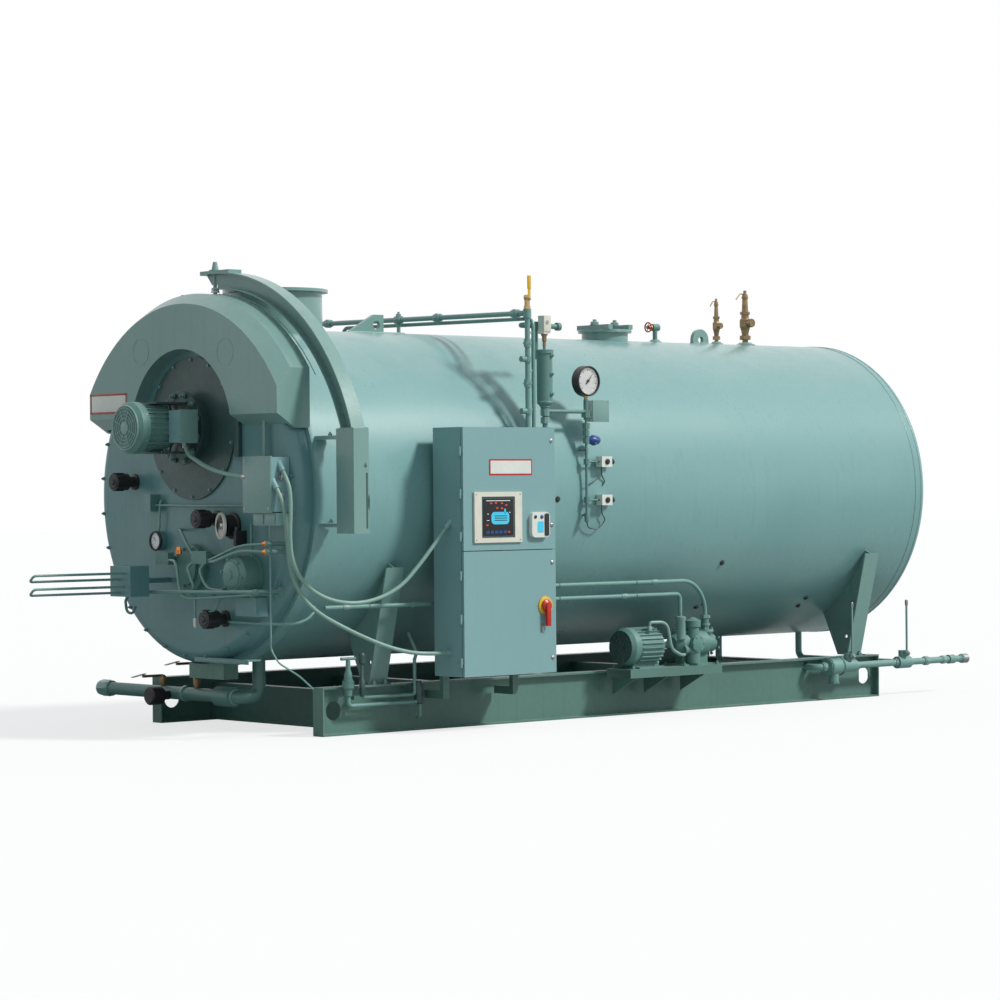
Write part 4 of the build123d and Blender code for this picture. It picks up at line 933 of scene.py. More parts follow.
    def done(self, shop: PaintShop, finish: Finish, body: str = "boiler") -> Piece:
        """Turns the mesh into a piece that rides on a body.

        Args:
            shop: Where its material comes from.
            finish: Its finish.
            body: The body that it rides on.

        Returns:
            The piece.
        """
        bmesh.ops.recalc_face_normals(self.mesh, faces=self.mesh.faces)
        data = bpy.data.meshes.new(self.name)
        self.mesh.to_mesh(data)
        self.mesh.free()
        piece = bpy.data.objects.new(self.name, data)
        bpy.context.scene.collection.objects.link(piece)
        data.materials.append(shop.mix(finish))
        data.shade_smooth()
        piece.modifiers.new("crisp_edges", "EDGE_SPLIT").split_angle = math.radians(34)
        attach(piece, body)
        LOG.info("%s rides on %s", self.name, body)
        return piece


@dataclass
class SubAssembly:
    """A group of pieces that belong together."""

    shop: PaintShop

    def build(self) -> list[Piece]:
        """Builds the pieces and returns them."""
        raise NotImplementedError

    def dress(self, *dressed: tuple, body: str = "boiler") -> list[Piece]:
        """Turns blanks into pieces.

        Args:
            dressed: Each blank with its finish, and its body where it rides on another one.
            body: The body that the others ride on.

        Returns:
            The pieces.
        """
        return [blank.done(self.shop, finish, *(own or (body,))) for blank, finish, *own in dressed]


# Solids that keep their shape


@dataclass
class CarriedSolids(SubAssembly):
    """The frame's own solids, which get their finishes here."""

    finishes: tuple[tuple[Finish, tuple[str, ...]], ...] = (
        (Finish.JACKET, ("shell", "rear_head", "rear_cover", "front_ring")),
        # The cabinet's stand takes the skid's darker enamel as painted shadow cast by the cabinet above it.
        (
            Finish.RAIL,
            ("skid_rail_near", "skid_rail_far", "skid_crossmembers", "drip_tray", "pump_base", "cabinet_stand")
        ),
        (Finish.HEAD, ("front_door", "head_instruments", "fuel_block")),
        # The fan plate is painted dark as painted shade of the hood's arch and recess.
        (Finish.DARK, ("fan_plate",)),
        (Finish.CABINET, ("cabinet_body", "cabinet_upper_door", "cabinet_lower_door", "junction_box", "terminal_box")),
        (Finish.CAST, (
            "blower_motor", "pump_motor", "oil_pump", "water_column", "front_drain", "vent_valve",
            "gauge_manifold", "steam_branch", "burner_front", "control_housing",
        )),
        (Finish.PIPE, ("cross_pipe", "cross_conduit", "side_pipes", "blowdown_pipe", "fuel_loops")),
        (Finish.BRONZE, ("relief_valve_small", "relief_valve_large")),
        (Finish.BRASS, ("test_valve",)),
        (Finish.BLACK, ("pressure_gauge", "sight_ports")),
        (Finish.WHITE, ("column_switch", "pressure_controls")),
        (Finish.IVORY, ("operator_panel",)),
        (Finish.RED, ("disconnect_handle", "vent_wheel")),
        (Finish.YELLOW, ("test_lever",)),
        (Finish.CONDUIT, ("upper_conduit", "lower_conduit")),
    )
    rest: Finish = Finish.SAGE

    def build(self) -> list[Piece]:
        """Gives every solid its finish.

        Returns:
            The solids.
        """
        chosen = {node: finish for finish, nodes in self.finishes for node in nodes}
        for name, solid in frame["nodes"].items():
            finish = chosen.get(name, self.rest)
            solid.data.materials.clear()
            solid.data.materials.append(self.shop.mix(finish))
            LOG.info("%s keeps its shape in %s", name, finish.value.name)
        return list(frame["nodes"].values())


# Flexible conduits


@dataclass
class Conduit(SubAssembly):
    """A flexible conduit that hangs from the junction box to the cabinet."""

    node: str = "upper_conduit"
    route: tuple[Point, ...] = ()
    length: float = 1.0
    diameter: float = 0.026

    def build(self) -> list[Piece]:
        """Lays the conduit on its route as one smooth spline.

        Returns:
            The conduit.
        """
        curve = bpy.data.curves.new(self.node + "_line", "CURVE")
        curve.dimensions = "3D"
        curve.bevel_depth = self.diameter / 2
        curve.bevel_resolution = 5
        curve.resolution_u = 10
        curve.use_fill_caps = True
        spline = curve.splines.new("NURBS")
        spline.points.add(len(self.route) - 1)
        for point, place in zip(spline.points, self.route):
            point.co = (*place, 1.0)
        spline.order_u = 3
        spline.use_endpoint_u = True
        piece = bpy.data.objects.new(self.node + "_line", curve)
        bpy.context.scene.collection.objects.link(piece)
        curve.materials.append(self.shop.mix(Finish.CONDUIT))
        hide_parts(self.node)
        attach(piece, "boiler")
        LOG.info("%s hangs from the junction box", self.node)
        return [piece]


UPPER_ROUTE = (
    (-2.940, -1.030, 1.655), (-2.939, -1.064, 1.610), (-2.937, -1.098, 1.540), (-2.945, -1.114, 1.420),
    (-2.953, -1.110, 1.250), (-2.930, -1.104, 1.095), (-2.850, -1.101, 0.972), (-2.718, -1.121, 0.877),
    (-2.540, -1.149, 0.832), (-2.350, -1.178, 0.846), (-2.165, -1.207, 0.925), (-2.040, -1.226, 1.050),
    (-1.928, -1.244, 1.178), (-1.838, -1.259, 1.288),
)
LOWER_ROUTE = (
    (-2.984, -1.024, 1.548), (-2.979, -1.051, 1.507), (-2.968, -1.068, 1.450), (-2.950, -1.066, 1.370),
    (-2.930, -1.052, 1.270), (-2.915, -1.043, 1.150), (-2.889, -1.045, 1.005), (-2.822, -1.068, 0.870),
    (-2.716, -1.098, 0.772), (-2.560, -1.132, 0.688), (-2.375, -1.165, 0.603), (-2.190, -1.200, 0.536),
    (-2.010, -1.234, 0.503), (-1.850, -1.262, 0.505),
)


# Jacket, skid and saddles


def jacket_spot(x: float, height: float, proud: float = 0.0) -> tuple[Point, Point]:
    """Finds a place on the jacket's near side.

    Args:
        x: Place along the boiler.
        height: Height of the place.
        proud: How far it stands off the jacket.

    Returns:
        The place, and the direction that faces out of the jacket there.
    """
    rise = (height - SHELL_Z) / SHELL_R
    outward = (0.0, -math.sqrt(1 - rise**2), rise)
    reach = SHELL_R + proud
    return (x, outward[1] * reach, SHELL_Z + outward[2] * reach), outward


@dataclass
class JacketTrim(SubAssembly):
    """The rubber plugs in the jacket and the beads where fittings pass through it."""

    plugs: tuple = ((-0.715, 1.464), (0.929, 1.009), (0.969, 0.719), (0.917, 0.697), (1.992, 0.731), (1.98, 0.673))
    plug_radius: float = 0.016
    collars: tuple = ((1.845, 0.027), (2.146, 0.04), (1.218, 0.026))
    bead: float = 0.006

    def build(self) -> list[Piece]:
        """Makes the plugs, the collars and the head's weld beads."""
        plugs = Blank("jacket_plugs")
        for x, height in self.plugs:
            at, outward = jacket_spot(x, height, -0.001)
            r = self.plug_radius
            plugs.turned(at, outward, [(0, r * 1.25), (0.003, r * 1.25), (0.005, r), (0.011, r * 0.9), (0.013, 0)], 20)
        beads = Blank("weld_beads")
        for x in (2.812, 2.932 - 0.06):
            beads.ring((x, 0, SHELL_Z), BACK, SHELL_R - 0.002, self.bead, 96)
        collars = Blank("jacket_collars")
        for x, radius in self.collars:
            top = SHELL_TOP - 0.001
            flare = [(0, radius * 1.9), (0.004, radius * 1.9), (0.012, radius * 1.35), (0.02, radius * 1.15)]
            collars.turned((x, 0, top), UP, flare, 28)
        return self.dress((plugs, Finish.RUBBER), (beads, Finish.JACKET), (collars, Finish.SAGE))


@dataclass
class SkidTrim(SubAssembly):
    """The saddles' bolts and weld beads on the skid."""

    rail_top: float = 0.305
    saddles: tuple = (-2.07, 2.37)
    bolt: float = 0.017

    def build(self) -> list[Piece]:
        """Makes the bolts on the saddles' feet and their welds."""
        bolts, beads = Blank("saddle_bolts"), Blank("saddle_welds")
        for x, side, end in product(self.saddles, (-1, 1), (-1, 1)):
            bolts.nut((x + end * 0.045, side * 0.872, self.rail_top + SEAT), UP, self.bolt, 0.015, 0.012)
            edge, height = x + end * 0.07, self.rail_top + 0.003
            beads.pipe([(edge, side * 0.846, height), (edge, side * 0.905, height)], 0.004, sides=8)
        return self.dress((bolts, Finish.SAGE), (beads, Finish.SAGE))


# Front head


@dataclass
class HeadTubes(SubAssembly):
    """The small painted tubes across the front head, their flare nuts and the studs that hold them."""

    bore: float = 0.0095
    low_cross: tuple = ((-3.06, 0.385, 0.893), (-3.06, -0.895, 0.917))
    arched: tuple = (
        ((-2.99, -0.318, 1.105), (-3.01, -0.36, 1.105), (-3.01, -0.678, 1.2), (-3.01, -0.935, 1.21)),
        ((-2.99, -0.318, 1.094), (-3.03, -0.42, 1.094), (-3.03, -0.704, 1.171), (-3.03, -0.96, 1.162)),
        ((-2.99, -0.158, 1.12), (-2.97, 0.02, 1.3), (-2.9, 0.132, 1.29), (HEAD_FACE, 0.132, 1.29)),
    )
    hanging: tuple = (
        ((-3.0, 0.095, 1.1), (-3.05, -0.05, 1.1), (-3.05, -0.09, 0.86), (-3.05, -0.4, 0.87), (-3.05, -0.85, 0.9)),
        ((-2.99, -0.158, 1.09), (-3.03, -0.14, 1.06), (-3.03, -0.21, 0.94), (-3.03, -0.2, 0.9)),
        ((-3.0, -0.285, 1.08), (-3.04, -0.285, 1.04), (-3.04, -0.36, 0.93), (-3.04, -0.53, 0.915)),
    )
    copper: tuple = ((-3.0, -0.011, 1.159, 0), (-3.01, -0.945, 1.21, 1), (-3.03, -0.97, 1.16, 1))
    studs: tuple = (
        (-3.06, -0.895, 0.917), (-3.01, -0.965, 1.21), (-3.03, -0.99, 1.162), (-3.05, -0.85, 0.9),
        (-3.04, -0.53, 0.915), (-3.03, -0.2, 0.9)
    )

    def build(self) -> list[Piece]:
        """Makes the tubes, the copper-coloured nuts and the studs."""
        tubes = Blank("head_tubes")
        tubes.pipe(self.low_cross, self.bore * 1.3)
        for run in (*self.arched, *self.hanging):
            tubes.pipe(run, self.bore, 0.12)
        tubes.pipe([
            (-2.96, -0.92, 1.33), (-2.96, -0.92, 0.56), (-2.955, -0.99, 0.48), (-2.8, -1.0, 0.39), (-2.7, -1.0, 0.31)
        ], self.bore * 0.6, 0.03)
        tubes.pipe([
            (-2.87, -0.36, 0.715), (-2.9, -0.43, 0.715), (-2.9, -0.8, 0.712), (-2.88, -1.06, 0.716),
            (-2.8, -1.085, 0.745), (-2.74, -1.085, 0.8), (-2.7, -1.02, 0.815)
        ], self.bore, 0.05)
        tubes.pipe(
            [(-2.9, 0.395, 1.45), (-2.9, -0.1, 1.443), (-2.9, -0.553, 1.442), (-2.9, -0.724, 1.442)], self.bore * 0.8
        )
        tubes.pipe(
            [(HEAD_FACE, 0.333, 1.482), (-2.9, 0.333, 1.47), (-2.9, 0.345, 1.3), (-2.9, 0.355, 1.275)], self.bore * 0.8
        )
        nuts = Blank("flare_nuts")
        for x, y, z, level in self.copper:
            along = FAR if level else UP
            profile = [(-0.024, 0.012), (-0.02, 0.019), (0.004, 0.021), (0.006, 0.015), (0.026, 0.013)]
            nuts.turned((x, y, z), along, profile, 6)
        studs = Blank("tube_studs")
        for x, y, z in self.studs:
            studs.turned(
                (HEAD_X - SEAT, y, z), FRONT, [(0, 0.026), (0.008, 0.026), (0.012, 0.013), (HEAD_X - x, 0.013)], 14
            )
            studs.turned((x + 0.02, y, z), FRONT, [(0, 0.016), (0.004, 0.019), (0.03, 0.019), (0.036, 0.012)], 6)
        return self.dress((tubes, Finish.PIPE), (nuts, Finish.COPPER), (studs, Finish.CAST))


@dataclass
class HeadFittings(SubAssembly):
    """The dial, caps, latches and bolts on the front head."""

    dial: Point = (-2.91, 0.36, 1.218)
    dial_radius: float = 0.062
    disc: Point = (-2.96, -0.433, 1.318)
    disc_radius: float = 0.085
    bolt_radius: float = 0.013
    sights: tuple = ((0.655, 1.601), (-0.25, 1.362), (-0.33, 0.733))
    bolt_rings: tuple = (
        (HEAD_X - 0.0142, (14, 0.437, (0.0, 1.938), 12.8), (0.011, 0.01)),
        (-2.9155, (8, 0.128, (0.0, 1.05), 22.5), (0.011, 0.012, 0.006)),
        (-3.0304, (6, 0.101, (-0.614, 1.016), 10.0), (0.009, 0.009)),
    )

    def build(self) -> list[Piece]:
        """Makes every small fitting on the head."""
        return [*self._dial(), *self._inspection_disc(), *self._caps(), *self._bolts(), *self._low_fittings()]

    def _dial(self) -> list[Piece]:
        """Makes the draught gauge's face, rim and needle."""
        x, y, z = self.dial
        r = self.dial_radius
        rim = Blank("draught_gauge_rim").turned(
            (x + 0.002, y, z), FRONT, [(0, r), (0.012, r * 1.06), (0.02, r), (0.02, r * 0.86), (0.006, r * 0.84)], 40
        )
        face = Blank("draught_gauge_face").turned((x, y, z), FRONT, [(0.001, r * 0.84), (0.006, r * 0.84)], 40)
        marks = Blank("draught_gauge_marks")
        for a, b in circle_places(12, r * 0.66, (y, z)):
            marks.rod((x - 0.0055, a, b), FRONT, 0.0026, 0.001, 8)
        marks.pipe([(x - 0.0075, y, z), (x - 0.0075, y + r * 0.4, z + r * 0.42)], 0.0016, sides=6)
        return self.dress((rim, Finish.BLACK), (face, Finish.DIAL), (marks, Finish.BLACK))

    def _inspection_disc(self) -> list[Piece]:
        """Makes the pale rimmed port lid with its black back and hinge."""
        x, y, z = self.disc
        r = self.disc_radius
        along = (-0.95, 0.3, 0)
        lid = Blank("inspection_rim").turned(
            (x, y, z), along, [
                (0.006, r * 0.8), (0, r * 0.9), (0.006, r), (0.02, r), (0.026, r * 0.93), (0.02, r * 0.83),
                (0.006, r * 0.8)
            ], 36
        )
        face = Blank("inspection_face").turned(
            (x, y, z), along, [
                (0.002, r * 0.82), (0.014, r * 0.82), (0.014, r * 0.24), (0.024, r * 0.2), (0.024, 0)
            ], 36
        )
        back = Blank("inspection_barrel").turned((HEAD_X - SEAT, y + 0.012, z), FRONT, [
            (0, r * 0.98), (0.014, r * 0.98), (0.02, r * 0.8), (0.088, r * 0.78)
        ], 32)
        hinge = Blank("inspection_hinge").box((-2.955, y - 0.128, z - 0.12), (HEAD_FACE, y - 0.1, z - 0.03))
        hinge.rod((-2.94, y - 0.114, z - 0.135), UP, 0.013, 0.13, 14)
        return self.dress((lid, Finish.IVORY), (face, Finish.STEEL), (back, Finish.BLACK), (hinge, Finish.BLACK))

    def _caps(self) -> list[Piece]:
        """Makes the grips and knurls of the three sight ports."""
        grips = Blank("sight_port_grips")
        for y, z in self.sights:
            for a, b in circle_places(10, 0.056, (y, z)):
                grips.turned((-3.035, a, b), BACK, [(0, 0.003), (0.003, 0.0065), (0.06, 0.0065), (0.063, 0.003)], 8)
            grips.turned(
                (-3.0395, y, z), FRONT, [(0, 0.044), (0.006, 0.04), (0.006, 0.022), (0.014, 0.018), (0.016, 0)], 24
            )
            grips.turned((-2.8705, y, z), FRONT, [(0, 0.052), (0.012, 0.052), (0.018, 0.036)], 24)
        return self.dress((grips, Finish.BLACK))

    def _bolts(self) -> list[Piece]:
        """Makes the bolts round the head's edge, the fan plate and the burner boss."""
        bolts = Blank("head_bolts")
        for y, z in circle_places(28, 1.03, (0.0, SHELL_Z), 6.4):
            if z < 1.85:
                bolts.nut((-2.8705 + 0.012, y, z), FRONT, self.bolt_radius, 0.014, 0.01)
        for x, (count, radius, centre, turn), size in self.bolt_rings:
            for y, z in circle_places(count, radius, centre, turn):
                bolts.nut((x, y, z), FRONT, *size)
        hub = Blank("control_housing_cover").turned(
            (-3.0305, -0.614, 1.016), FRONT, [
                (0, 0.084), (0.006, 0.082), (0.014, 0.06), (0.016, 0.03), (0.024, 0.028), (0.026, 0)
            ], 32
        )
        return self.dress((bolts, Finish.HEAD), (hub, Finish.CAST))

    def _low_fittings(self) -> list[Piece]:
        """Makes the latches, hooks, ledge and drip pin low on the head."""
        ledge = Blank("head_ledge").box((-2.9, -0.6, 0.47), (-2.8, -0.03, 0.482))
        ledge.box((-2.9, -0.6, 0.452), (-2.892, -0.03, 0.474))
        hooks = Blank("head_hooks")
        hooks.pipe([
            (-3.11, 0.395, 0.868), (-3.11, 0.43, 0.84), (-3.11, 0.415, 0.765), (-3.11, 0.35, 0.755), (-3.11, 0.315, 0.8)
        ], 0.009, 0.05)
        hooks.pipe([
            (-3.04, -0.299, 0.78), (-3.0, -0.385, 0.78), (-3.0, -0.449, 0.856), (-2.95, -0.49, 0.89),
            (HEAD_FACE, -0.49, 0.9)
        ], 0.008, 0.05)
        hooks.pipe([(-2.93, -0.689, 1.33), (-2.93, -0.689, 1.13)], 0.009)
        pin = Blank("drip_pin").pipe([(-3.04, -0.238, 0.9), (-3.04, -0.237, 0.72)], 0.008)
        tip = Blank("drip_pin_tip").turned((-3.04, -0.237, 0.74), DOWN, [(0, 0.011), (0.05, 0.012), (0.062, 0.004)], 14)
        levers = Blank("drain_levers")
        for y, z in ((0.24, 0.44), (0.62, 0.345)):
            levers.plate([
                (-2.86, y - 0.02, z), (-2.835, y - 0.02, z), (-2.835, y + 0.12, z - 0.028), (-2.86, y + 0.12, z - 0.028)
            ], (0, 0.001, 0.006))
        return self.dress(
            (ledge, Finish.HEAD), (hooks, Finish.CAST), (pin, Finish.PIPE), (tip, Finish.IVORY)
        ) + self._drain_levers(levers)

    def _drain_levers(self, levers: Blank) -> list[Piece]:
        """Finishes the two small cocks on the cross drain.

        Args:
            levers: The blank that holds the levers' plates.

        Returns:
            The levers and their bodies.
        """
        bodies = Blank("drain_cocks")
        for y, z in ((0.24, 0.43), (0.62, 0.335)):
            bodies.turned((-2.69, y, 0.262), UP, [
                (0, 0.018), (0.03, 0.024), (0.06, 0.024), (0.07, 0.016), (z - 0.262, 0.012)
            ], 16)
            bodies.rod((-2.69, y, z - 0.004), FRONT, 0.009, 0.16, 10)
        return self.dress((levers, Finish.IVORY), (bodies, Finish.BRONZE))


# Inlet hood and blower


@dataclass
class HoodTrim(SubAssembly):
    """The seams, rivets, knockout rings and bare plate of the inlet hood."""

    face: float = -2.974
    back: float = -2.72
    radius: float = 1.285
    plate: tuple = (0.59, 1.006, 2.048, 2.177)
    knockouts: tuple = ((0.425, 2.438), (-0.49, 2.403))

    def build(self) -> list[Piece]:
        """Makes the hood's trim."""
        low_y, high_y, low_z, high_z = self.plate
        plate = Blank("hood_plate").box((self.face - 0.003, low_y, low_z), (self.face, high_y, high_z), 0.001)
        border = Blank("hood_plate_border")
        for a, b in (
            ((low_y, low_z), (high_y, low_z + 0.012)), ((low_y, high_z - 0.012), (high_y, high_z)),
            ((low_y, low_z), (low_y + 0.012, high_z)), ((high_y - 0.012, low_z), (high_y, high_z))
        ):
            border.box((self.face - 0.004, a[0], a[1]), (self.face - 0.0025, b[0], b[1]), 0.0004)
        rounds = Blank("hood_knockouts")
        for y, z in self.knockouts:
            rounds.ring((self.face - 0.0004, y, z), BACK, 0.085, 0.0016, 40)
        straps = Blank("hood_seam")
        top = SHELL_Z + self.radius
        for x in (self.back + 0.02, -2.86):
            line = []
            for i in range(25):
                angle = math.radians(35 + 110 * i / 24)
                line.append(
                    (x, math.cos(angle) * (self.radius + 0.001), SHELL_Z + math.sin(angle) * (self.radius + 0.001))
                )
            straps.pipe(line, 0.003, 0.0, 6)
        rivets = Blank("hood_rivets")
        for i in range(19):
            angle = math.radians(40 + 100 * i / 18)
            outward = (0, math.cos(angle), math.sin(angle))
            at = (-2.745, outward[1] * self.radius, SHELL_Z + outward[2] * self.radius)
            rivets.turned(at, outward, [(0, 0.009), (0.004, 0.007), (0.005, 0)], 10)
        seam = Blank("hood_top_seam").plate(
            [
                (self.back + 0.01, 0.115, top - 0.004), (self.back + 0.01, 0.12, top - 0.0045),
                (-2.87, 0.12, top - 0.0045), (-2.87, 0.115, top - 0.004)
            ],
            (0, 0, 0.003),
        )
        return self.dress(
            (plate, Finish.WHITE), (border, Finish.RED), (rounds, Finish.SAGE), (straps, Finish.SAGE),
            (rivets, Finish.SAGE), (seam, Finish.DARK)
        )


@dataclass
class BlowerTrim(SubAssembly):
    """The motor's fan grille, terminal lid, bolts, rigid conduit lead and the strip inside the arch."""

    axis: float = 1.938
    front: float = -3.394
    grille: float = 0.125
    lead: tuple = (
        (-3.06, -0.157, 1.85), (-3.05, -0.19, 1.77), (-3.04, -0.36, 1.69), (-3.03, -0.54, 1.645), (-3.0, -0.73, 1.62)
    )

    def build(self) -> list[Piece]:
        """Makes the blower's trim."""
        return [*self._grille(), *self._terminals(), *self._lead(), *self._arch()]

    def _grille(self) -> list[Piece]:
        """Makes the fan cover's rings, spokes and the dark opening behind them."""
        hollow = Blank("fan_opening").turned(
            (self.front - 0.0006, 0, self.axis), FRONT, [(0, self.grille), (0.001, self.grille), (0.001, 0)], 40
        )
        wires = Blank("fan_grille")
        for i in range(5):
            wires.ring((self.front - 0.004, 0, self.axis), BACK, self.grille - i * 0.022, 0.003, 40)
        for y, z in circle_places(8, self.grille, (0.0, self.axis), 22.5):
            wires.pipe([(self.front - 0.004, 0, self.axis), (self.front - 0.004, y, z)], 0.003, sides=6)
        wires.turned(
            (self.front - 0.001, 0, self.axis), FRONT, [(0, 0.036), (0.006, 0.034), (0.008, 0.012), (0.008, 0)], 28
        )
        lip = Blank("fan_cover_lip").ring((self.front + 0.002, 0, self.axis), BACK, self.grille + 0.012, 0.006, 48)
        bolts = Blank("motor_bolts")
        for y, z in circle_places(4, 0.112, (0.0, self.axis), 45.0):
            bolts.nut((-3.1255 + 0.0, y, z), BACK, 0.012, 0.01)
        for y, z in circle_places(6, 0.164, (0.0, self.axis), 30.0):
            outward = (0, y / 0.164, (z - self.axis) / 0.164)
            bolts.turned((-3.325, y, z), outward, [(0, 0.007), (0.003, 0.006), (0.004, 0)], 10)
        return self.dress((hollow, Finish.CAST), (wires, Finish.SAGE), (lip, Finish.SAGE), (bolts, Finish.SAGE))

    def _terminals(self) -> list[Piece]:
        """Makes the terminal box's lid, its screws and its gland."""
        low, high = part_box("terminal_box")
        lid = Blank("terminal_lid").box(
            (low[0] - 0.004, low[1] - 0.006, low[2] - 0.004), (high[0] + 0.004, low[1], high[2] + 0.004), 0.002
        )
        screws = Blank("terminal_screws")
        for x in (low[0] + 0.012, high[0] - 0.012):
            for z in (low[2] + 0.014, high[2] - 0.014):
                screws.nut((x, low[1] - 0.006, z), NEAR, 0.006, 0.004)
        gland = Blank("motor_gland").turned(
            (-3.06, -0.157, low[2]), (0, 0.0, -1), [(-0.002, 0.024), (0.012, 0.024), (0.014, 0.018), (0.034, 0.016)], 6
        )
        return self.dress((lid, Finish.SAGE), (screws, Finish.STEEL), (gland, Finish.STEEL))

    def _lead(self) -> list[Piece]:
        """Makes the rigid bent conduit from the motor to the wiring box, with its gland."""
        pipe = Blank("motor_conduit").pipe(self.lead, 0.0135, 0.09, 14)
        start, end = Vector(self.lead[-2]), Vector(self.lead[-1])
        gland = Blank("motor_conduit_gland").turned(
            tuple(end), tuple(end - start), [(-0.03, 0.018), (-0.006, 0.022), (0.008, 0.022), (0.008, 0)], 8
        )
        return self.dress((pipe, Finish.CONDUIT), (gland, Finish.STEEL))

    def _arch(self) -> list[Piece]:
        """Makes the studs round the fan ring, and the strip beside it painted dark as painted shade of the arch."""
        studs = Blank("fan_ring_studs")
        for y, z in circle_places(12, 0.21, (0.0, self.axis), 15.0):
            studs.nut((-2.983, y, z), FRONT, 0.017, 0.014, 0.014)
        # The strip inside the arch is painted dark: painted shade of the hood's arch.
        strip = Blank("arch_strip_painted_shade").box((-2.9, -0.52, 1.75), (HEAD_FACE, -0.47, 2.2), 0.003)
        vanes = Blank("fan_housing_ribs")
        for y, z in circle_places(6, 0.13, (0.0, self.axis), 0.0):
            vanes.pipe([
                (-3.0, y * 0.75, self.axis + (z - self.axis) * 0.75),
                (-3.0, y * 1.62, self.axis + (z - self.axis) * 1.62)
            ], 0.008, sides=8)
        return self.dress((studs, Finish.CAST), (strip, Finish.DARK), (vanes, Finish.CAST))


# Davit and junction box


@dataclass
class DavitTrim(SubAssembly):
    """The bolts, nut, slit and cap welds of the lifting davit."""

    post_x: tuple = (-2.7, -2.582)
    post_z: tuple = (1.27, 1.912)
    post_front: float = -1.425
    slit: tuple = (1.3, 1.64)

    def build(self) -> list[Piece]:
        """Makes the davit's trim."""
        # The slit and its edge are dark pieces standing for the shade inside the post's slot: painted shade.
        slit = Blank("post_slit").box(
            (-2.606, self.post_front - 0.0008, self.slit[0]), (-2.592, self.post_front + 0.002, self.slit[1]), 0.0
        )
        pull = Blank("post_slit_edge").turned(
            (-2.585, self.post_front + 0.01, self.slit[0] - 0.01), UP, [(0, 0.003), (0.17, 0.013), (0.34, 0.003)], 14
        )
        bolts = Blank("post_bolts")
        middle = sum(self.post_x) / 2
        for height in (1.325, 1.86):
            for way in (-1, 1):
                bolts.nut((middle + way * 0.04, -1.17, height + 0.011), UP, 0.013, 0.012, 0.008)
        bolts.nut((-2.603, self.post_front - 0.0004, 1.69), NEAR, 0.011, 0.01)
        cap = Blank("post_cap_weld")
        for x in (self.post_x[0] + 0.004, self.post_x[1] - 0.004):
            cap.pipe([
                (x, self.post_front + 0.006, self.post_z[1] + 0.001), (x, -1.28, self.post_z[1] + 0.001)
            ], 0.004, sides=8)
        low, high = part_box("davit_hanger")
        nut = Blank("hanger_nut")
        x, y = (low[0] + high[0]) / 2, (low[1] + high[1]) / 2
        nut.nut((x, y, 2.812), UP, 0.026, 0.022)
        return self.dress(
            (slit, Finish.DARK), (pull, Finish.DARK), (bolts, Finish.SAGE), (cap, Finish.SAGE), (nut, Finish.STEEL)
        )


@dataclass
class WiringBoxTrim(SubAssembly):
    """The wiring box's lid, screws, locknuts, relay lids and the strut above it."""

    box: tuple = ((-3.005, -1.0, 1.406), (-2.87, -0.724, 1.742))

    def build(self) -> list[Piece]:
        """Makes the wiring box's trim."""
        low, high = self.box
        lid = Blank("wiring_box_lid").box(
            (low[0] - 0.012, low[1] - 0.004, low[2] - 0.004), (low[0] - 0.005, high[1] + 0.004, high[2] + 0.004), 0.002
        )
        screws = Blank("wiring_box_screws")
        for y in (low[1] + 0.018, high[1] - 0.018):
            for z in (low[2] + 0.02, high[2] - 0.02):
                screws.nut((low[0] - 0.012, y, z), FRONT, 0.007, 0.004)
        locknuts = Blank("wiring_box_locknuts")
        for y, z in ((-0.745, 1.62), (-0.78, 1.5)):
            locknuts.turned(
                (-2.93, low[1] - 0.001, z), NEAR, [(0, 0.024), (0.008, 0.024), (0.01, 0.018), (0.014, 0)], 8
            )
        strut = Blank("wiring_box_strut").pipe([(-2.9, -0.79, 1.742), (-2.9, -0.79, 1.97)], 0.011, sides=10)
        relays = Blank("relay_lids")
        for y in (-0.94, -0.822):
            relays.box((-2.976, y - 0.05, 1.328), (-2.97, y + 0.05, 1.394), 0.002)
        return self.dress(
            (lid, Finish.SAGE), (screws, Finish.STEEL), (locknuts, Finish.STEEL), (strut, Finish.SAGE),
            (relays, Finish.SAGE)
        )


# Top fittings and the control side


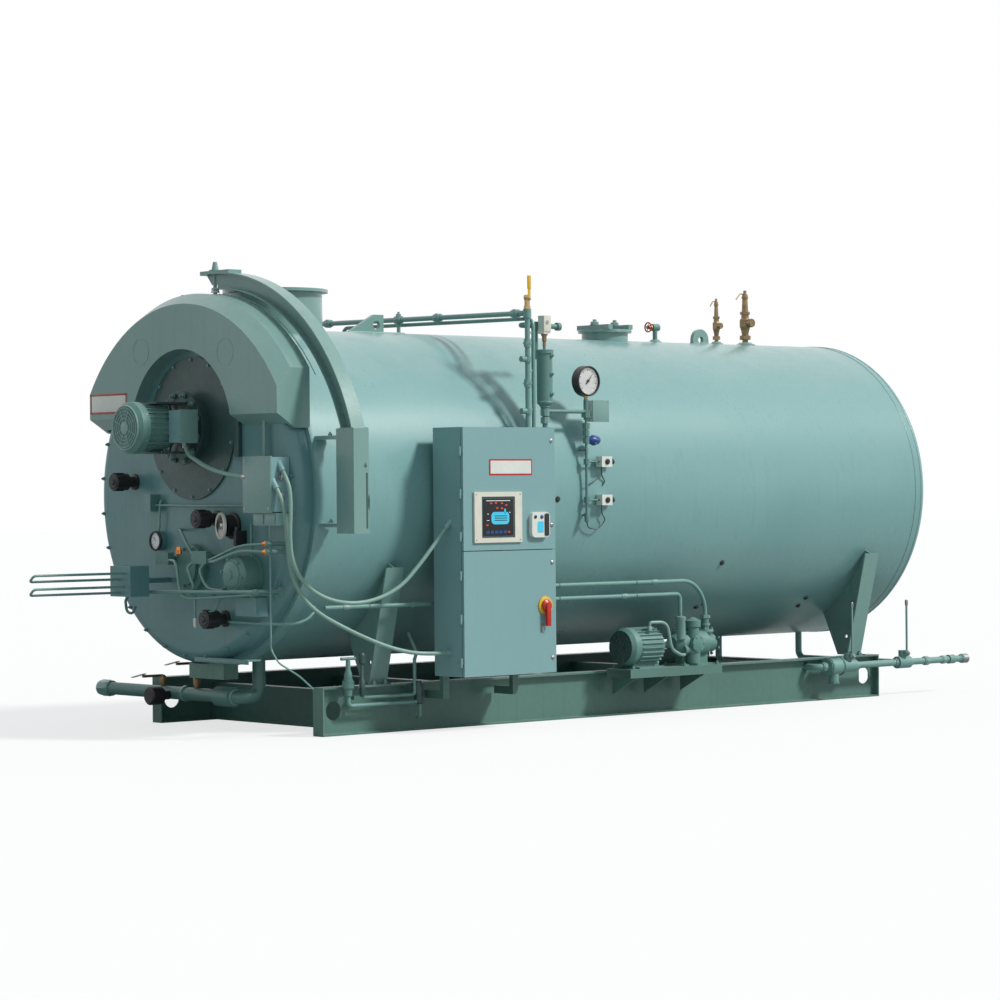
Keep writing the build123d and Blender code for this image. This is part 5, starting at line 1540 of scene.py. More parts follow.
@dataclass
class CrossPipeTrim(SubAssembly):
    """The unions, tees and clips of the crossing pipe, and the test valve's body."""

    x: float = -0.997
    near_y: float = -1.105
    near_z: float = 2.676
    rise: float = 0.0118
    reducers: tuple = (-0.99, -0.2, 0.215, 0.99)

    def build(self) -> list[Piece]:
        """Makes the crossing pipe's trim."""
        fittings = Blank("cross_pipe_fittings")
        for y in self.reducers:
            z = self.near_z + (y - self.near_y) * self.rise
            fittings.turned(
                (self.x, y, z), (0, 1, self.rise), [
                    (-0.034, 0.018), (-0.034, 0.025), (-0.012, 0.028), (0.012, 0.028), (0.034, 0.025), (0.034, 0.018)
                ], 20
            )
            fittings.turned((self.x, y, z), (0, 1, self.rise), [(-0.01, 0.033), (0.01, 0.033)], 6)
        for z in (2.48, 2.22, 1.9, 1.78):
            fittings.turned(
                (self.x, self.near_y, z), UP, [(-0.026, 0.018), (-0.026, 0.024), (0.026, 0.024), (0.026, 0.018)], 20
            )
            fittings.turned((self.x, self.near_y, z), UP, [(-0.008, 0.029), (0.008, 0.029)], 6)
        saddle = Blank("cross_pipe_clip").ring((self.x, 0.215, self.near_z + 1.32 * self.rise), FAR, 0.021, 0.004, 20)
        saddle.nut((self.x, 0.215, self.near_z + 1.32 * self.rise + 0.024), UP, 0.018, 0.016, 0.012)
        valve = Blank("test_valve_body")
        valve.turned((self.x, self.near_y, 2.703), UP, [(0, 0.022), (0.018, 0.022), (0.02, 0.019)], 6)
        valve.turned((self.x, self.near_y, 2.76), UP, [(0, 0.0185), (0.012, 0.023), (0.026, 0.023), (0.034, 0.019)], 24)
        grip = Blank("test_lever_sleeve").box(
            (self.x - 0.0125, self.near_y - 0.0265, 2.83), (self.x + 0.0125, self.near_y - 0.0155, 2.919), 0.004
        )
        nut = Blank("test_lever_nut").nut((self.x, self.near_y - 0.0235, 2.768), NEAR, 0.01, 0.007, 0.004)
        clips = Blank("cross_conduit_clips")
        for z in (2.55, 2.3, 2.05):
            clips.box(
                (self.x + 0.012, self.near_y - 0.004, z - 0.008), (self.x + 0.052, self.near_y + 0.006, z + 0.008),
                0.002
            )
        return self.dress(
            (fittings, Finish.SAGE), (saddle, Finish.SAGE), (valve, Finish.BRASS), (grip, Finish.YELLOW, "test_handle"),
            (nut, Finish.STEEL, "test_handle"), (clips, Finish.STEEL)
        )


@dataclass
class ColumnTrim(SubAssembly):
    """The plugs, welds and control head of the water column."""

    x: float = -0.85
    y: float = -1.105
    radius: float = 0.052
    plug_heights: tuple = (2.4, 2.28, 2.15)
    head_z: tuple = (2.544, 2.658)

    def build(self) -> list[Piece]:
        """Makes the water column's trim."""
        plugs = Blank("column_plugs")
        for z in self.plug_heights:
            plugs.turned((self.x + 0.014, self.y - self.radius + 0.006, z), (0.2, -1, 0), [
                (0, 0.015), (0.01, 0.015), (0.012, 0.009), (0.022, 0.009)
            ], 16)
            plugs.rod((self.x + 0.0165, self.y - self.radius - 0.004, z), (0.2, -1, 0), 0.01, 0.01, 4)
        bands = Blank("column_bands")
        for z in (2.068, 2.1, 2.428):
            bands.ring((self.x, self.y, z), UP, self.radius - 0.001 if z > 2.09 else 0.03, 0.004, 36)
        for z in (2.03, 1.98, 1.85):
            bands.turned((self.x, self.y, z), UP, [(-0.02, 0.02), (-0.02, 0.029), (0.02, 0.029), (0.02, 0.02)], 8)
        head = Blank("column_head_cover").box(
            (self.x - 0.031, self.y - 0.034, self.head_z[0] + 0.014),
            (self.x + 0.031, self.y - 0.028, self.head_z[1] + 0.003), 0.002
        )
        head.box(
            (self.x - 0.031, self.y - 0.034, self.head_z[1]), (self.x + 0.031, self.y + 0.03, self.head_z[1] + 0.004),
            0.0015
        )
        window = Blank("column_head_window").turned(
            (self.x - 0.004, self.y - 0.034, 2.618), NEAR, [(0, 0.014), (0.003, 0.013), (0.003, 0.0)], 24
        )
        gland = Blank("column_head_gland").turned((self.x, self.y, self.head_z[0]), DOWN, [
            (-0.002, 0.022), (0.012, 0.022), (0.014, 0.016), (0.05, 0.014), (0.052, 0.011), (0.086, 0.011)
        ], 8)
        return self.dress(
            (plugs, Finish.CAST), (bands, Finish.SAGE), (head, Finish.IVORY), (window, Finish.STEEL),
            (gland, Finish.BRONZE)
        )


@dataclass
class GaugeTrim(SubAssembly):
    """The steam gauge's dial, its brass stem, the blue valve and the pressure switches' dials and leads."""

    x: float = -0.485
    y: float = -1.105
    z: float = 2.241
    radius: float = 0.1
    front: float = -1.134
    recess: float = 0.0116
    switch_x: float = -0.326
    switches: tuple = (1.709, 1.455)
    marks: int = 41
    first_mark: float = 225
    sweep: float = 270
    pointer: float = 48

    def build(self) -> list[Piece]:
        """Makes the gauge group's trim."""
        return [*self._dial(), *self._valves(), *self._switches()]

    def _dial(self) -> list[Piece]:
        """Makes the white dial with its marks, needle, rim and glass."""
        floor = self.front + self.recess
        face = Blank("gauge_dial").turned(
            (self.x, floor, self.z), NEAR, [(0.0004, 0.089), (0.002, 0.089), (0.002, 0)], 56
        )
        marks = Blank("gauge_marks")
        for i in range(self.marks):
            angle = math.radians(self.first_mark - self.sweep * i / (self.marks - 1))
            long = 0.016 if i % 5 == 0 else 0.008
            a, b = math.cos(angle), math.sin(angle)
            wide = 0.0018 if i % 5 == 0 else 0.0009
            start = (self.x + a * 0.08, floor - 0.0023, self.z + b * 0.08)
            marks.pipe([start, (self.x + a * (0.08 - long), floor - 0.0023, self.z + b * (0.08 - long))], wide, sides=4)
        angle = math.radians(self.pointer)
        a, b = math.cos(angle), math.sin(angle)
        needle = Blank("gauge_needle").plate(
            [
                (self.x - a * 0.028 - b * 0.005, floor - 0.006, self.z - b * 0.028 + a * 0.005),
                (self.x + b * -0.0035, floor - 0.006, self.z + a * 0.0035),
                (self.x + a * 0.066, floor - 0.006, self.z + b * 0.066),
                (self.x + b * 0.0035, floor - 0.006, self.z - a * 0.0035),
                (self.x - a * 0.028 + b * 0.005, floor - 0.006, self.z - b * 0.028 - a * 0.005),
            ],
            (0, -0.0015, 0),
        )
        needle.turned(
            (self.x, floor - 0.002, self.z), NEAR, [(0, 0.009), (0.006, 0.009), (0.008, 0.004), (0.008, 0)], 20
        )
        rim = Blank("gauge_rim").ring((self.x, self.front, self.z), FAR, 0.0945, 0.0062, 64)
        rim.ring((self.x, self.front + 0.05, self.z), FAR, 0.0975, 0.005, 64)
        glass = Blank("gauge_glass").turned(
            (self.x, self.front + 0.004, self.z), NEAR, [(0, 0.09), (0.0015, 0.09), (0.0015, 0)], 48
        )
        stem = Blank("gauge_stem").turned((self.x, self.y, 2.118), UP, [
            (0, 0.012), (0.012, 0.013), (0.016, 0.018), (0.03, 0.018), (0.034, 0.012), (0.04, 0.011)
        ], 6)
        return self.dress(
            (face, Finish.DIAL), (marks, Finish.BLACK), (needle, Finish.BLACK), (rim, Finish.BLACK),
            (glass, Finish.GLASS), (stem, Finish.BRASS)
        )

    def _valves(self) -> list[Piece]:
        """Makes the blue-handled valve and the fittings on the manifold."""
        handle = Blank("blue_handle").turned(
            (self.x + 0.022, self.y, 1.851), BACK, [
                (0, 0.016), (0.012, 0.026), (0.03, 0.031), (0.06, 0.031), (0.08, 0.027), (0.092, 0.018), (0.092, 0)
            ], 20
        )
        for a, b in circle_places(8, 0.029, (self.y, 1.851)):
            handle.rod((self.x + 0.05, a, b), BACK, 0.006, 0.028, 8)
        fittings = Blank("manifold_fittings")
        for z, r in (
            (2.02, 0.031), (1.945, 0.026), (1.9, 0.022), (1.851, 0.021), (1.709, 0.019), (1.455, 0.019), (1.35, 0.017)
        ):
            fittings.turned((self.x, self.y, z), UP, [(-0.02, r * 0.7), (-0.02, r), (0.02, r), (0.02, r * 0.7)], 8)
        fittings.turned(
            (self.x, self.y, 1.325), DOWN, [(-0.004, 0.016), (0.012, 0.016), (0.014, 0.009), (0.02, 0.009)], 6
        )
        lid = Blank("limit_box_lid").box((-0.458, -1.144, 1.971), (-0.312, -1.139, 2.116), 0.002)
        for x in (-0.447, -0.323):
            for z in (1.983, 2.104):
                lid.turned((x, -1.144, z), NEAR, [(0, 0.005), (0.002, 0.004), (0.002, 0)], 10)
        return self.dress((handle, Finish.BLUE), (fittings, Finish.CAST), (lid, Finish.SAGE))

    def _switches(self) -> list[Piece]:
        """Makes the two switches' black dials and side knobs, and their thin leads."""
        dials = Blank("switch_dials")
        leads = Blank("switch_leads")
        for z in self.switches:
            x = self.switch_x
            dials.turned((x + 0.002, -1.1352, z), NEAR, [
                (0, 0.019), (0.006, 0.019), (0.008, 0.014), (0.012, 0.013), (0.012, 0)
            ], 24)
            dials.turned((-0.28, self.y, z), BACK, [
                (-0.001, 0.015), (0.012, 0.015), (0.016, 0.02), (0.034, 0.018), (0.034, 0)
            ], 16)
            leads.pipe([
                (x - 0.01, -1.09, z - 0.035), (x - 0.01, -1.09, z - 0.09), (x + 0.03, -1.08, z - 0.13),
                (x + 0.01, -1.075, z - 0.16)
            ], 0.004, 0.03, 8)
        leads.pipe(
            [(-0.336, -1.09, 1.62), (-0.4, -1.088, 1.58), (-0.46, -1.1, 1.56), (-0.478, -1.105, 1.56)], 0.004, 0.03, 8
        )
        leads.pipe([
            (-0.316, -1.075, 1.295), (-0.36, -1.073, 1.26), (-0.45, -1.07, 1.27), (-0.478, -1.1, 1.34)
        ], 0.004, 0.04, 8)
        return self.dress((dials, Finish.BLACK), (leads, Finish.DARK))


@dataclass
class TopTrim(SubAssembly):
    """The bolts, welds and levers on the flue flange, lugs, manway and relief valves."""

    flue: tuple = (-2.208, 0.0)
    manway_x: float = 0.722
    reliefs: tuple = ((1.845, 2.918, 0.027), (2.146, 2.988, 0.04))

    def build(self) -> list[Piece]:
        """Makes the trim of the fittings along the top."""
        welds = Blank("top_welds")
        welds.ring((*self.flue, 2.8265), UP, 0.307, 0.004, 64)
        for x, half, reach in ((-1.375, 0.24, 0.0), (1.669, 0.08, 0.0)):
            for y in (-0.016, 0.016):
                z = SHELL_TOP + 0.002
                welds.pipe([(x - half, y, z), (x + half, y, z)], 0.006, sides=8)
        studs = Blank("manway_studs")
        for way in (-1, 1):
            x = self.manway_x + way * 0.0975
            studs.nut((x, 0, 2.6915), UP, 0.03, 0.022, 0.014)
            half, foot, crown = 0.158, 2.661, 2.6885
            arch = [(x - 0.021, -half, foot), (x - 0.021, -half * 0.72, foot + 0.014), (x - 0.021, -half * 0.3, crown)]
            arch += [(x - 0.021, half * 0.3, crown), (x - 0.021, half * 0.72, foot + 0.014), (x - 0.021, half, foot)]
            studs.plate(arch, (0.042, 0, 0))
        rim = Blank("manway_rim").ring((self.manway_x, 0, 2.647), UP, 0.186, 0.006, 56)
        rim.turned((self.manway_x, 0, 2.6575), UP, [(-0.002, 0.07), (0.006, 0.066), (0.012, 0.03), (0.013, 0)], 32)
        caps = Blank("relief_hexes")
        levers = Blank("relief_levers")
        for x, top, radius in self.reliefs:
            base = SHELL_TOP
            height = top - base
            caps.rod((x, 0, base + height * 0.1), UP, radius * 1.05, height * 0.07, 6)
            caps.rod((x, 0, base + height * 0.56), UP, radius * 0.96, height * 0.05, 6)
            caps.rod((x, -radius * 1.5, base + height * 0.4), NEAR, radius * 0.82, radius * 0.36, 8)
            z = base + height * 0.93
            levers.pipe([
                (x - 0.004, 0.006, z), (x - radius * 1.2, 0.0, z + 0.006), (x - radius * 2.4, -0.004, z - height * 0.1)
            ], 0.0045, 0.02, 8)
            levers.ring((x, 0, base + height * 0.88), UP, radius * 0.6, 0.0018, 24)
        hub = Blank("vent_wheel_nut").nut((1.1405, 0, 2.69), FRONT, 0.009, 0.006, 0.004)
        bonnet = Blank("vent_bonnet")
        bonnet.turned((1.249, 0, 2.69), FRONT, [(-0.003, 0.022), (0.008, 0.022)], 6)
        bonnet.turned((1.1865, 0, 2.69), FRONT, [(0, 0.019), (0.014, 0.019), (0.016, 0.011), (0.024, 0.011)], 6)
        return self.dress(
            (welds, Finish.SAGE), (studs, Finish.SAGE), (rim, Finish.SAGE), (caps, Finish.BRONZE),
            (levers, Finish.BRONZE), (hub, Finish.STEEL, "vent_handwheel"), (bonnet, Finish.BRASS)
        )


@dataclass
class CabinetTrim(SubAssembly):
    """The bare plate, operator screen, pilot panel, rotary switch and edges of the control cabinet."""

    left: float = -1.81
    right: float = -1.036
    face: float = -1.402
    plate: tuple = (-1.594, -1.232, 1.621, 1.723)
    frame: tuple = (-1.729, -1.331, 1.196, 1.516)
    screen: tuple = (-1.669, -1.391, 1.226, 1.486)
    pilot: tuple = (-1.261, -1.108, 1.223, 1.385)
    switch: tuple = (-1.13, 0.786)

    def build(self) -> list[Piece]:
        """Makes the cabinet's trim."""
        return [*self._plate(), *self._screen(), *self._pilot_panel(), *self._switch(), *self._body()]

    def _plate(self) -> list[Piece]:
        """Makes the bare plate and its thin border."""
        left, right, low, high = self.plate
        middle = ((left + right) / 2, self.face, (low + high) / 2)
        plate = Blank("cabinet_plate_face").panel(
            (middle[0], self.face - 0.0018, middle[2]), (right - left - 0.02, high - low - 0.02), 0.0012, 0.004
        )
        border = Blank("cabinet_plate_border").panel(middle, (right - left, high - low), 0.002, 0.008)
        return self.dress((plate, Finish.WHITE), (border, Finish.RED), body="upper_door")

    def _screen(self) -> list[Piece]:
        """Makes the operator screen's dark glass, its plain shapes and the bezel's inner edge."""
        left, right, low, high = self.screen
        middle_x, middle_z = (left + right) / 2, (low + high) / 2
        front = -1.4105
        frame = Blank("screen_mat").panel((middle_x, front, middle_z), (right - left, high - low), 0.0012, 0.006)
        glass = Blank("screen_glass").panel(
            (middle_x, front - 0.001, middle_z), (right - left - 0.028, high - low - 0.028), 0.002, 0.004
        )
        shapes = front - 0.0034
        vessel = Blank("screen_vessel").panel(
            (middle_x + 0.016, shapes, middle_z - 0.006), (0.15, 0.078), 0.0008, 0.026
        )
        vessel.panel((middle_x + 0.056, shapes, middle_z + 0.036), (0.014, 0.034), 0.0008, 0.004)
        bar = Blank("screen_vessel_window")
        for rise in (-0.02, -0.006, 0.008):
            bar.panel((middle_x + 0.02, shapes - 0.0009, middle_z + rise), (0.104, 0.005), 0.0006, 0.002)
        dots = Blank("screen_readings")
        for x, z in (
            (-0.06, 0.088), (-0.02, 0.09), (0.03, 0.088), (0.066, 0.076), (-0.01, 0.058), (0.03, 0.056),
            (-0.092, -0.05), (0.088, -0.094)
        ):
            dots.panel((middle_x + x, shapes, middle_z + z), (0.018, 0.01), 0.0008, 0.003)
        keys = Blank("screen_keys")
        for i in range(5):
            keys.panel((middle_x - 0.088 + i * 0.036, shapes, middle_z - 0.094), (0.026, 0.018), 0.0008, 0.004)
        pale = Blank("screen_lines")
        for x, z, wide in ((0.0, 0.104, 0.2), (-0.086, 0.02, 0.012), (0.096, 0.03, 0.012), (-0.086, -0.02, 0.02)):
            pale.panel((middle_x + x, shapes, middle_z + z), (wide, 0.004), 0.0006, 0.001)
        screws = Blank("operator_panel_screws")
        for x in (self.frame[0] + 0.016, self.frame[1] - 0.016):
            for z in (self.frame[2] + 0.016, self.frame[3] - 0.016):
                screws.turned((x, -1.416, z), NEAR, [(0, 0.0055), (0.0018, 0.0045), (0.0018, 0)], 12)
        return self.dress(
            (frame, Finish.DARK), (glass, Finish.SCREEN), (vessel, Finish.LIT_CYAN), (bar, Finish.SCREEN),
            (dots, Finish.LIT_RED), (keys, Finish.BLUE), (pale, Finish.LIT_WHITE), (screws, Finish.STEEL),
            body="upper_door"
        )

    def _pilot_panel(self) -> list[Piece]:
        """Makes the small white control with its dark rocker, lamp and screen."""
        left, right, low, high = self.pilot
        middle_x, middle_z = (left + right) / 2, (low + high) / 2
        box = Blank("pilot_box").panel((middle_x, self.face, middle_z), (right - left, high - low), 0.03, 0.03)
        rocker = Blank("pilot_rocker").panel(
            (middle_x + 0.048, self.face - 0.03, middle_z), (0.034, high - low - 0.02), 0.006, 0.01
        )
        rocker.panel((middle_x - 0.048, self.face - 0.03, middle_z + 0.05), (0.02, 0.02), 0.004, 0.006)
        window = Blank("pilot_window").panel(
            (middle_x - 0.004, self.face - 0.03, middle_z - 0.014), (0.05, 0.07), 0.002, 0.006
        )
        lamp = Blank("pilot_lamp").turned((middle_x + 0.006, self.face - 0.03, middle_z + 0.05), NEAR, [
            (0, 0.013), (0.004, 0.012), (0.008, 0.006), (0.009, 0)
        ], 20)
        return self.dress(
            (box, Finish.WHITE), (rocker, Finish.BLACK), (window, Finish.LIT_CYAN), (lamp, Finish.BLUE),
            body="upper_door"
        )

    def _switch(self) -> list[Piece]:
        """Makes the yellow ring and the red grip of the rotary switch."""
        x, z = self.switch
        ring = Blank("switch_ring").turned((x, self.face - 0.0102, z), NEAR, [
            (-0.009, 0.06), (-0.002, 0.058), (0, 0.05), (0.0012, 0.048), (0.0012, 0.03), (-0.003, 0.03)
        ], 40)
        hub = Blank("switch_hub").turned((x, self.face - 0.0125, z), NEAR, [
            (0, 0.024), (0.004, 0.04), (0.012, 0.038), (0.02, 0.024), (0.022, 0.02)
        ], 32)
        hub.box((x - 0.017, self.face - 0.041, z - 0.132), (x + 0.017, self.face - 0.0385, z + 0.012), 0.001)
        hasp = Blank("switch_hasp").plate(
            [
                (x - 0.03, self.face, z - 0.118), (x - 0.018, self.face, z - 0.118), (x - 0.018, self.face, z - 0.168),
                (x - 0.03, self.face, z - 0.168)
            ], (0, -0.006, 0)
        )
        return self.dress(
            (ring, Finish.YELLOW, "lower_door"), (hub, Finish.RED, "disconnect"), (hasp, Finish.STEEL, "lower_door")
        )

    def _body(self) -> list[Piece]:
        """Makes the lifting eyes, the quarter-turn locks and the side's screws."""
        eyes = Blank("cabinet_eyes")
        for x in (self.left + 0.002, self.right - 0.044):
            eyes.box((x, -1.135, 1.9), (x + 0.042, -1.111, 1.926), 0.003)
        locks = Blank("door_locks")
        for z in (1.84, 1.3):
            locks.turned((self.right - 0.03, self.face - 0.0004, z), NEAR, [
                (0, 0.012), (0.004, 0.012), (0.006, 0.009), (0.006, 0)
            ], 24)
            locks.box(
                (self.right - 0.0315, self.face - 0.0085, z - 0.008),
                (self.right - 0.0285, self.face - 0.005, z + 0.008), 0.0005
            )
        lower = Blank("lower_door_locks")
        for z in (1.06, 0.45):
            lower.turned((self.right - 0.03, self.face - 0.0004, z), NEAR, [
                (0, 0.012), (0.004, 0.012), (0.006, 0.009), (0.006, 0)
            ], 24)
        screws = Blank("cabinet_side_screws")
        for z in (0.42, 0.8, 1.2, 1.6, 1.86):
            screws.turned((self.left - 0.0003, -1.13, z), FRONT, [(0, 0.006), (0.002, 0.005), (0.002, 0)], 12)
        return self.dress(
            (eyes, Finish.CABINET), (locks, Finish.STEEL, "upper_door"), (lower, Finish.STEEL, "lower_door"),
            (screws, Finish.STEEL)
        )


# Pump set and low piping


@dataclass
class PumpTrim(SubAssembly):
    """The oil pump's fan cover, fins, ports, strainer, relief casting, lead and bolts."""

    y: float = -1.04
    z: float = 0.466
    motor: tuple = (-0.125, 0.205)
    radius: float = 0.13

    def build(self) -> list[Piece]:
        """Makes the pump set's trim."""
        fins = Blank("pump_motor_fins")
        for i in range(22):
            angle = math.radians(-60 + 300 * i / 21)
            a, b = math.cos(angle), math.sin(angle)
            fins.plate(
                [
                    (-0.03, self.y + a * 0.108 - b * 0.0015, self.z + b * 0.108 + a * 0.0015),
                    (0.165, self.y + a * 0.108 - b * 0.0015, self.z + b * 0.108 + a * 0.0015),
                    (0.165, self.y + a * 0.129 - b * 0.0015, self.z + b * 0.129 + a * 0.0015),
                    (-0.03, self.y + a * 0.129 - b * 0.0015, self.z + b * 0.129 + a * 0.0015),
                ],
                (0, b * 0.003, -a * 0.003),
            )
        # The dark disc behind the grille and the grille's dark enamel are painted shade on the pump's fan face.
        hollow = Blank("pump_fan_opening").turned(
            (self.motor[0] - 0.0006, self.y, self.z), FRONT, [(0, 0.112), (0.001, 0.112), (0.001, 0)], 36
        )
        wires = Blank("pump_fan_grille")
        for i in range(4):
            wires.ring((self.motor[0] - 0.003, self.y, self.z), BACK, 0.11 - i * 0.026, 0.0026, 36)
        for y, z in circle_places(12, 0.111, (self.y, self.z), 15.0):
            wires.pipe([(self.motor[0] - 0.003, self.y, self.z), (self.motor[0] - 0.003, y, z)], 0.0024, sides=6)
        bolts = Blank("pump_bolts")
        for x in (-0.1, 0.1, 0.38, 0.69):
            for way in (-1, 1):
                bolts.nut((x, self.y + way * 0.092, 0.3225), UP, 0.013, 0.012, 0.008)
        for y, z in circle_places(6, 0.072, (self.y, self.z), 30.0):
            bolts.nut((0.7255, y, z), BACK, 0.011, 0.01, 0.006)
        ports = Blank("pump_ports")
        for x in (0.431, 0.67):
            ports.turned((x, self.y, 0.654), DOWN, [(-0.002, 0.036), (0.018, 0.036), (0.02, 0.03)], 6)
            ports.rod((x, self.y, 0.6), DOWN, 0.034, 0.014, 24)
            for a, b in circle_places(4, 0.045, (x, self.y), 45.0):
                ports.nut((a, b, 0.56), UP, 0.008, 0.008, 0.004)
            ports.turned((x, self.y, 0.558), DOWN, [(-0.001, 0.056), (0.014, 0.056), (0.03, 0.04)], 28)
        strainer = Blank("pump_strainer").turned((0.345, self.y - 0.096, 0.5), UP, [
            (0, 0.02), (0.01, 0.03), (0.13, 0.03), (0.138, 0.034), (0.156, 0.034), (0.162, 0.018), (0.162, 0)
        ], 24)
        strainer.pipe([(0.345, self.y - 0.096, 0.51), (0.4, self.y - 0.07, 0.51)], 0.014, sides=12)
        casting = Blank("pump_relief_casting").turned(
            (0.49, self.y - 0.062, 0.336), UP,
            [
                (0, 0.03), (0.0, 0.046), (0.08, 0.05), (0.15, 0.042), (0.24, 0.042), (0.25, 0.054), (0.29, 0.054),
                (0.296, 0.04), (0.308, 0.022), (0.316, 0.0)
            ], 28,
        )
        casting.turned((0.49, self.y - 0.06, 0.47), NEAR, [
            (0, 0.05), (0.05, 0.056), (0.06, 0.056), (0.064, 0.036), (0.07, 0.0)
        ], 28)
        casting.turned((0.42, self.y - 0.075, 0.43), FRONT, [
            (-0.05, 0.026), (0.02, 0.026), (0.022, 0.034), (0.036, 0.034), (0.038, 0.0)
        ], 20)
        for a, b in circle_places(6, 0.046, (0.49, 0.47), 0.0):
            casting.nut((a, self.y - 0.1205, b), NEAR, 0.006, 0.006)
        loop = Blank("pump_motor_lead").pipe(
            [
                (0.06, self.y - 0.085, 0.6), (0.06, self.y - 0.09, 0.628), (0.2, self.y - 0.11, 0.628),
                (0.235, self.y - 0.115, 0.44), (0.33, self.y - 0.11, 0.4), (0.372, self.y - 0.1, 0.4)
            ],
            0.011, 0.07, 12,
        )
        loop.turned((0.06, self.y - 0.084, 0.572), UP, [(0, 0.018), (0.022, 0.018), (0.03, 0.013)], 8)
        return self.dress(
            (casting, Finish.CAST), (loop, Finish.CONDUIT), (fins, Finish.SAGE), (hollow, Finish.DARK),
            (wires, Finish.DARK), (bolts, Finish.CAST), (ports, Finish.SAGE), (strainer, Finish.SAGE)
        )


@dataclass
class SidePipeTrim(SubAssembly):
    """The unions and wall clips of the two oil pipes along the boiler."""

    y: float = -1.0595
    upper: float = 0.897
    lower: float = 0.809
    unions: tuple = ((0.17, 0), (-0.11, 1), (-2.48, 1))
    clips: tuple = (-2.3, -1.95, -0.7, 0.0)

    def build(self) -> list[Piece]:
        """Makes the side pipes' trim."""
        unions = Blank("side_pipe_unions")
        for x, is_low in self.unions:
            at = (x, self.y, self.lower if is_low else self.upper)
            unions.turned(at, BACK, [(-0.03, 0.0145), (-0.03, 0.017), (0.03, 0.017), (0.03, 0.0145)], 16)
            unions.turned(at, BACK, [(-0.009, 0.02), (0.009, 0.02)], 6)
        clips = Blank("side_pipe_clips")
        for x in self.clips:
            for z in (self.upper, self.lower):
                if x > -1.2 or z == self.lower:
                    half = shell_half_width(z)
                    clips.ring((x, self.y, z), BACK, 0.0165, 0.003, 20)
                    clips.box((x - 0.008, self.y + 0.012, z - 0.006), (x + 0.008, -half + 0.004, z + 0.006), 0.001)
        return self.dress((unions, Finish.SAGE), (clips, Finish.SAGE))


@dataclass
class BlowdownTrim(SubAssembly):
    """The blowdown valves' bonnet bolts and hexes, the levers' knobs and the pipe's unions."""

    y: float = -1.0
    z: float = 0.243
    valves: tuple = (2.15, 2.735)
    levers: tuple = ("front_drain_lever", "rear_drain_lever")

    def build(self) -> list[Piece]:
        """Makes the blowdown line's trim."""
        made = []
        hexes = Blank("blowdown_hexes")
        for x in (1.905, 2.09, 2.215, 2.675, 2.8, 2.99, 3.18, 3.39):
            r = 0.034 if x < 3.0 else 0.031
            hexes.turned((x, self.y, self.z), BACK, [(-0.018, r), (0.018, r)], 8)
            hexes.turned((x, self.y, self.z), BACK, [(-0.03, r * 0.86), (0.03, r * 0.86)], 20)
        flange = Blank("quick_valve_flange")
        for x in (1.94, 2.06):
            flange.turned((x, self.y, self.z), BACK, [(-0.006, 0.066), (0.006, 0.066)], 32)
            for a, b in circle_places(6, 0.056, (self.y, self.z), 30.0):
                flange.nut((x - 0.0065, a, b), FRONT, 0.009, 0.008, 0.004)
        flange.turned((2.0, self.y, self.z - 0.112), DOWN, [(-0.004, 0.04), (0.01, 0.04), (0.014, 0.02)], 8)
        for x, body in zip(self.valves, self.levers):
            stem = Blank(f"{body}_trim")
            stem.nut((x, self.y - 0.051 - 0.0004, 0.309), NEAR, 0.016, 0.01, 0.006)
            stem.turned(
                (x, self.y - 0.041, 0.66), UP, [(0, 0.0095), (0.004, 0.0115), (0.036, 0.0115), (0.04, 0.006)], 16
            )
            made.append(stem.done(self.shop, Finish.STEEL, body))
        union = Blank("blowdown_end_union").turned(
            (3.44, self.y, self.z), FRONT, [(0.0, 0.021), (0.0, 0.035), (0.05, 0.035), (0.056, 0.026)], 24
        )
        return [*self.dress((hexes, Finish.SAGE), (flange, Finish.CAST), (union, Finish.STEEL)), *made]


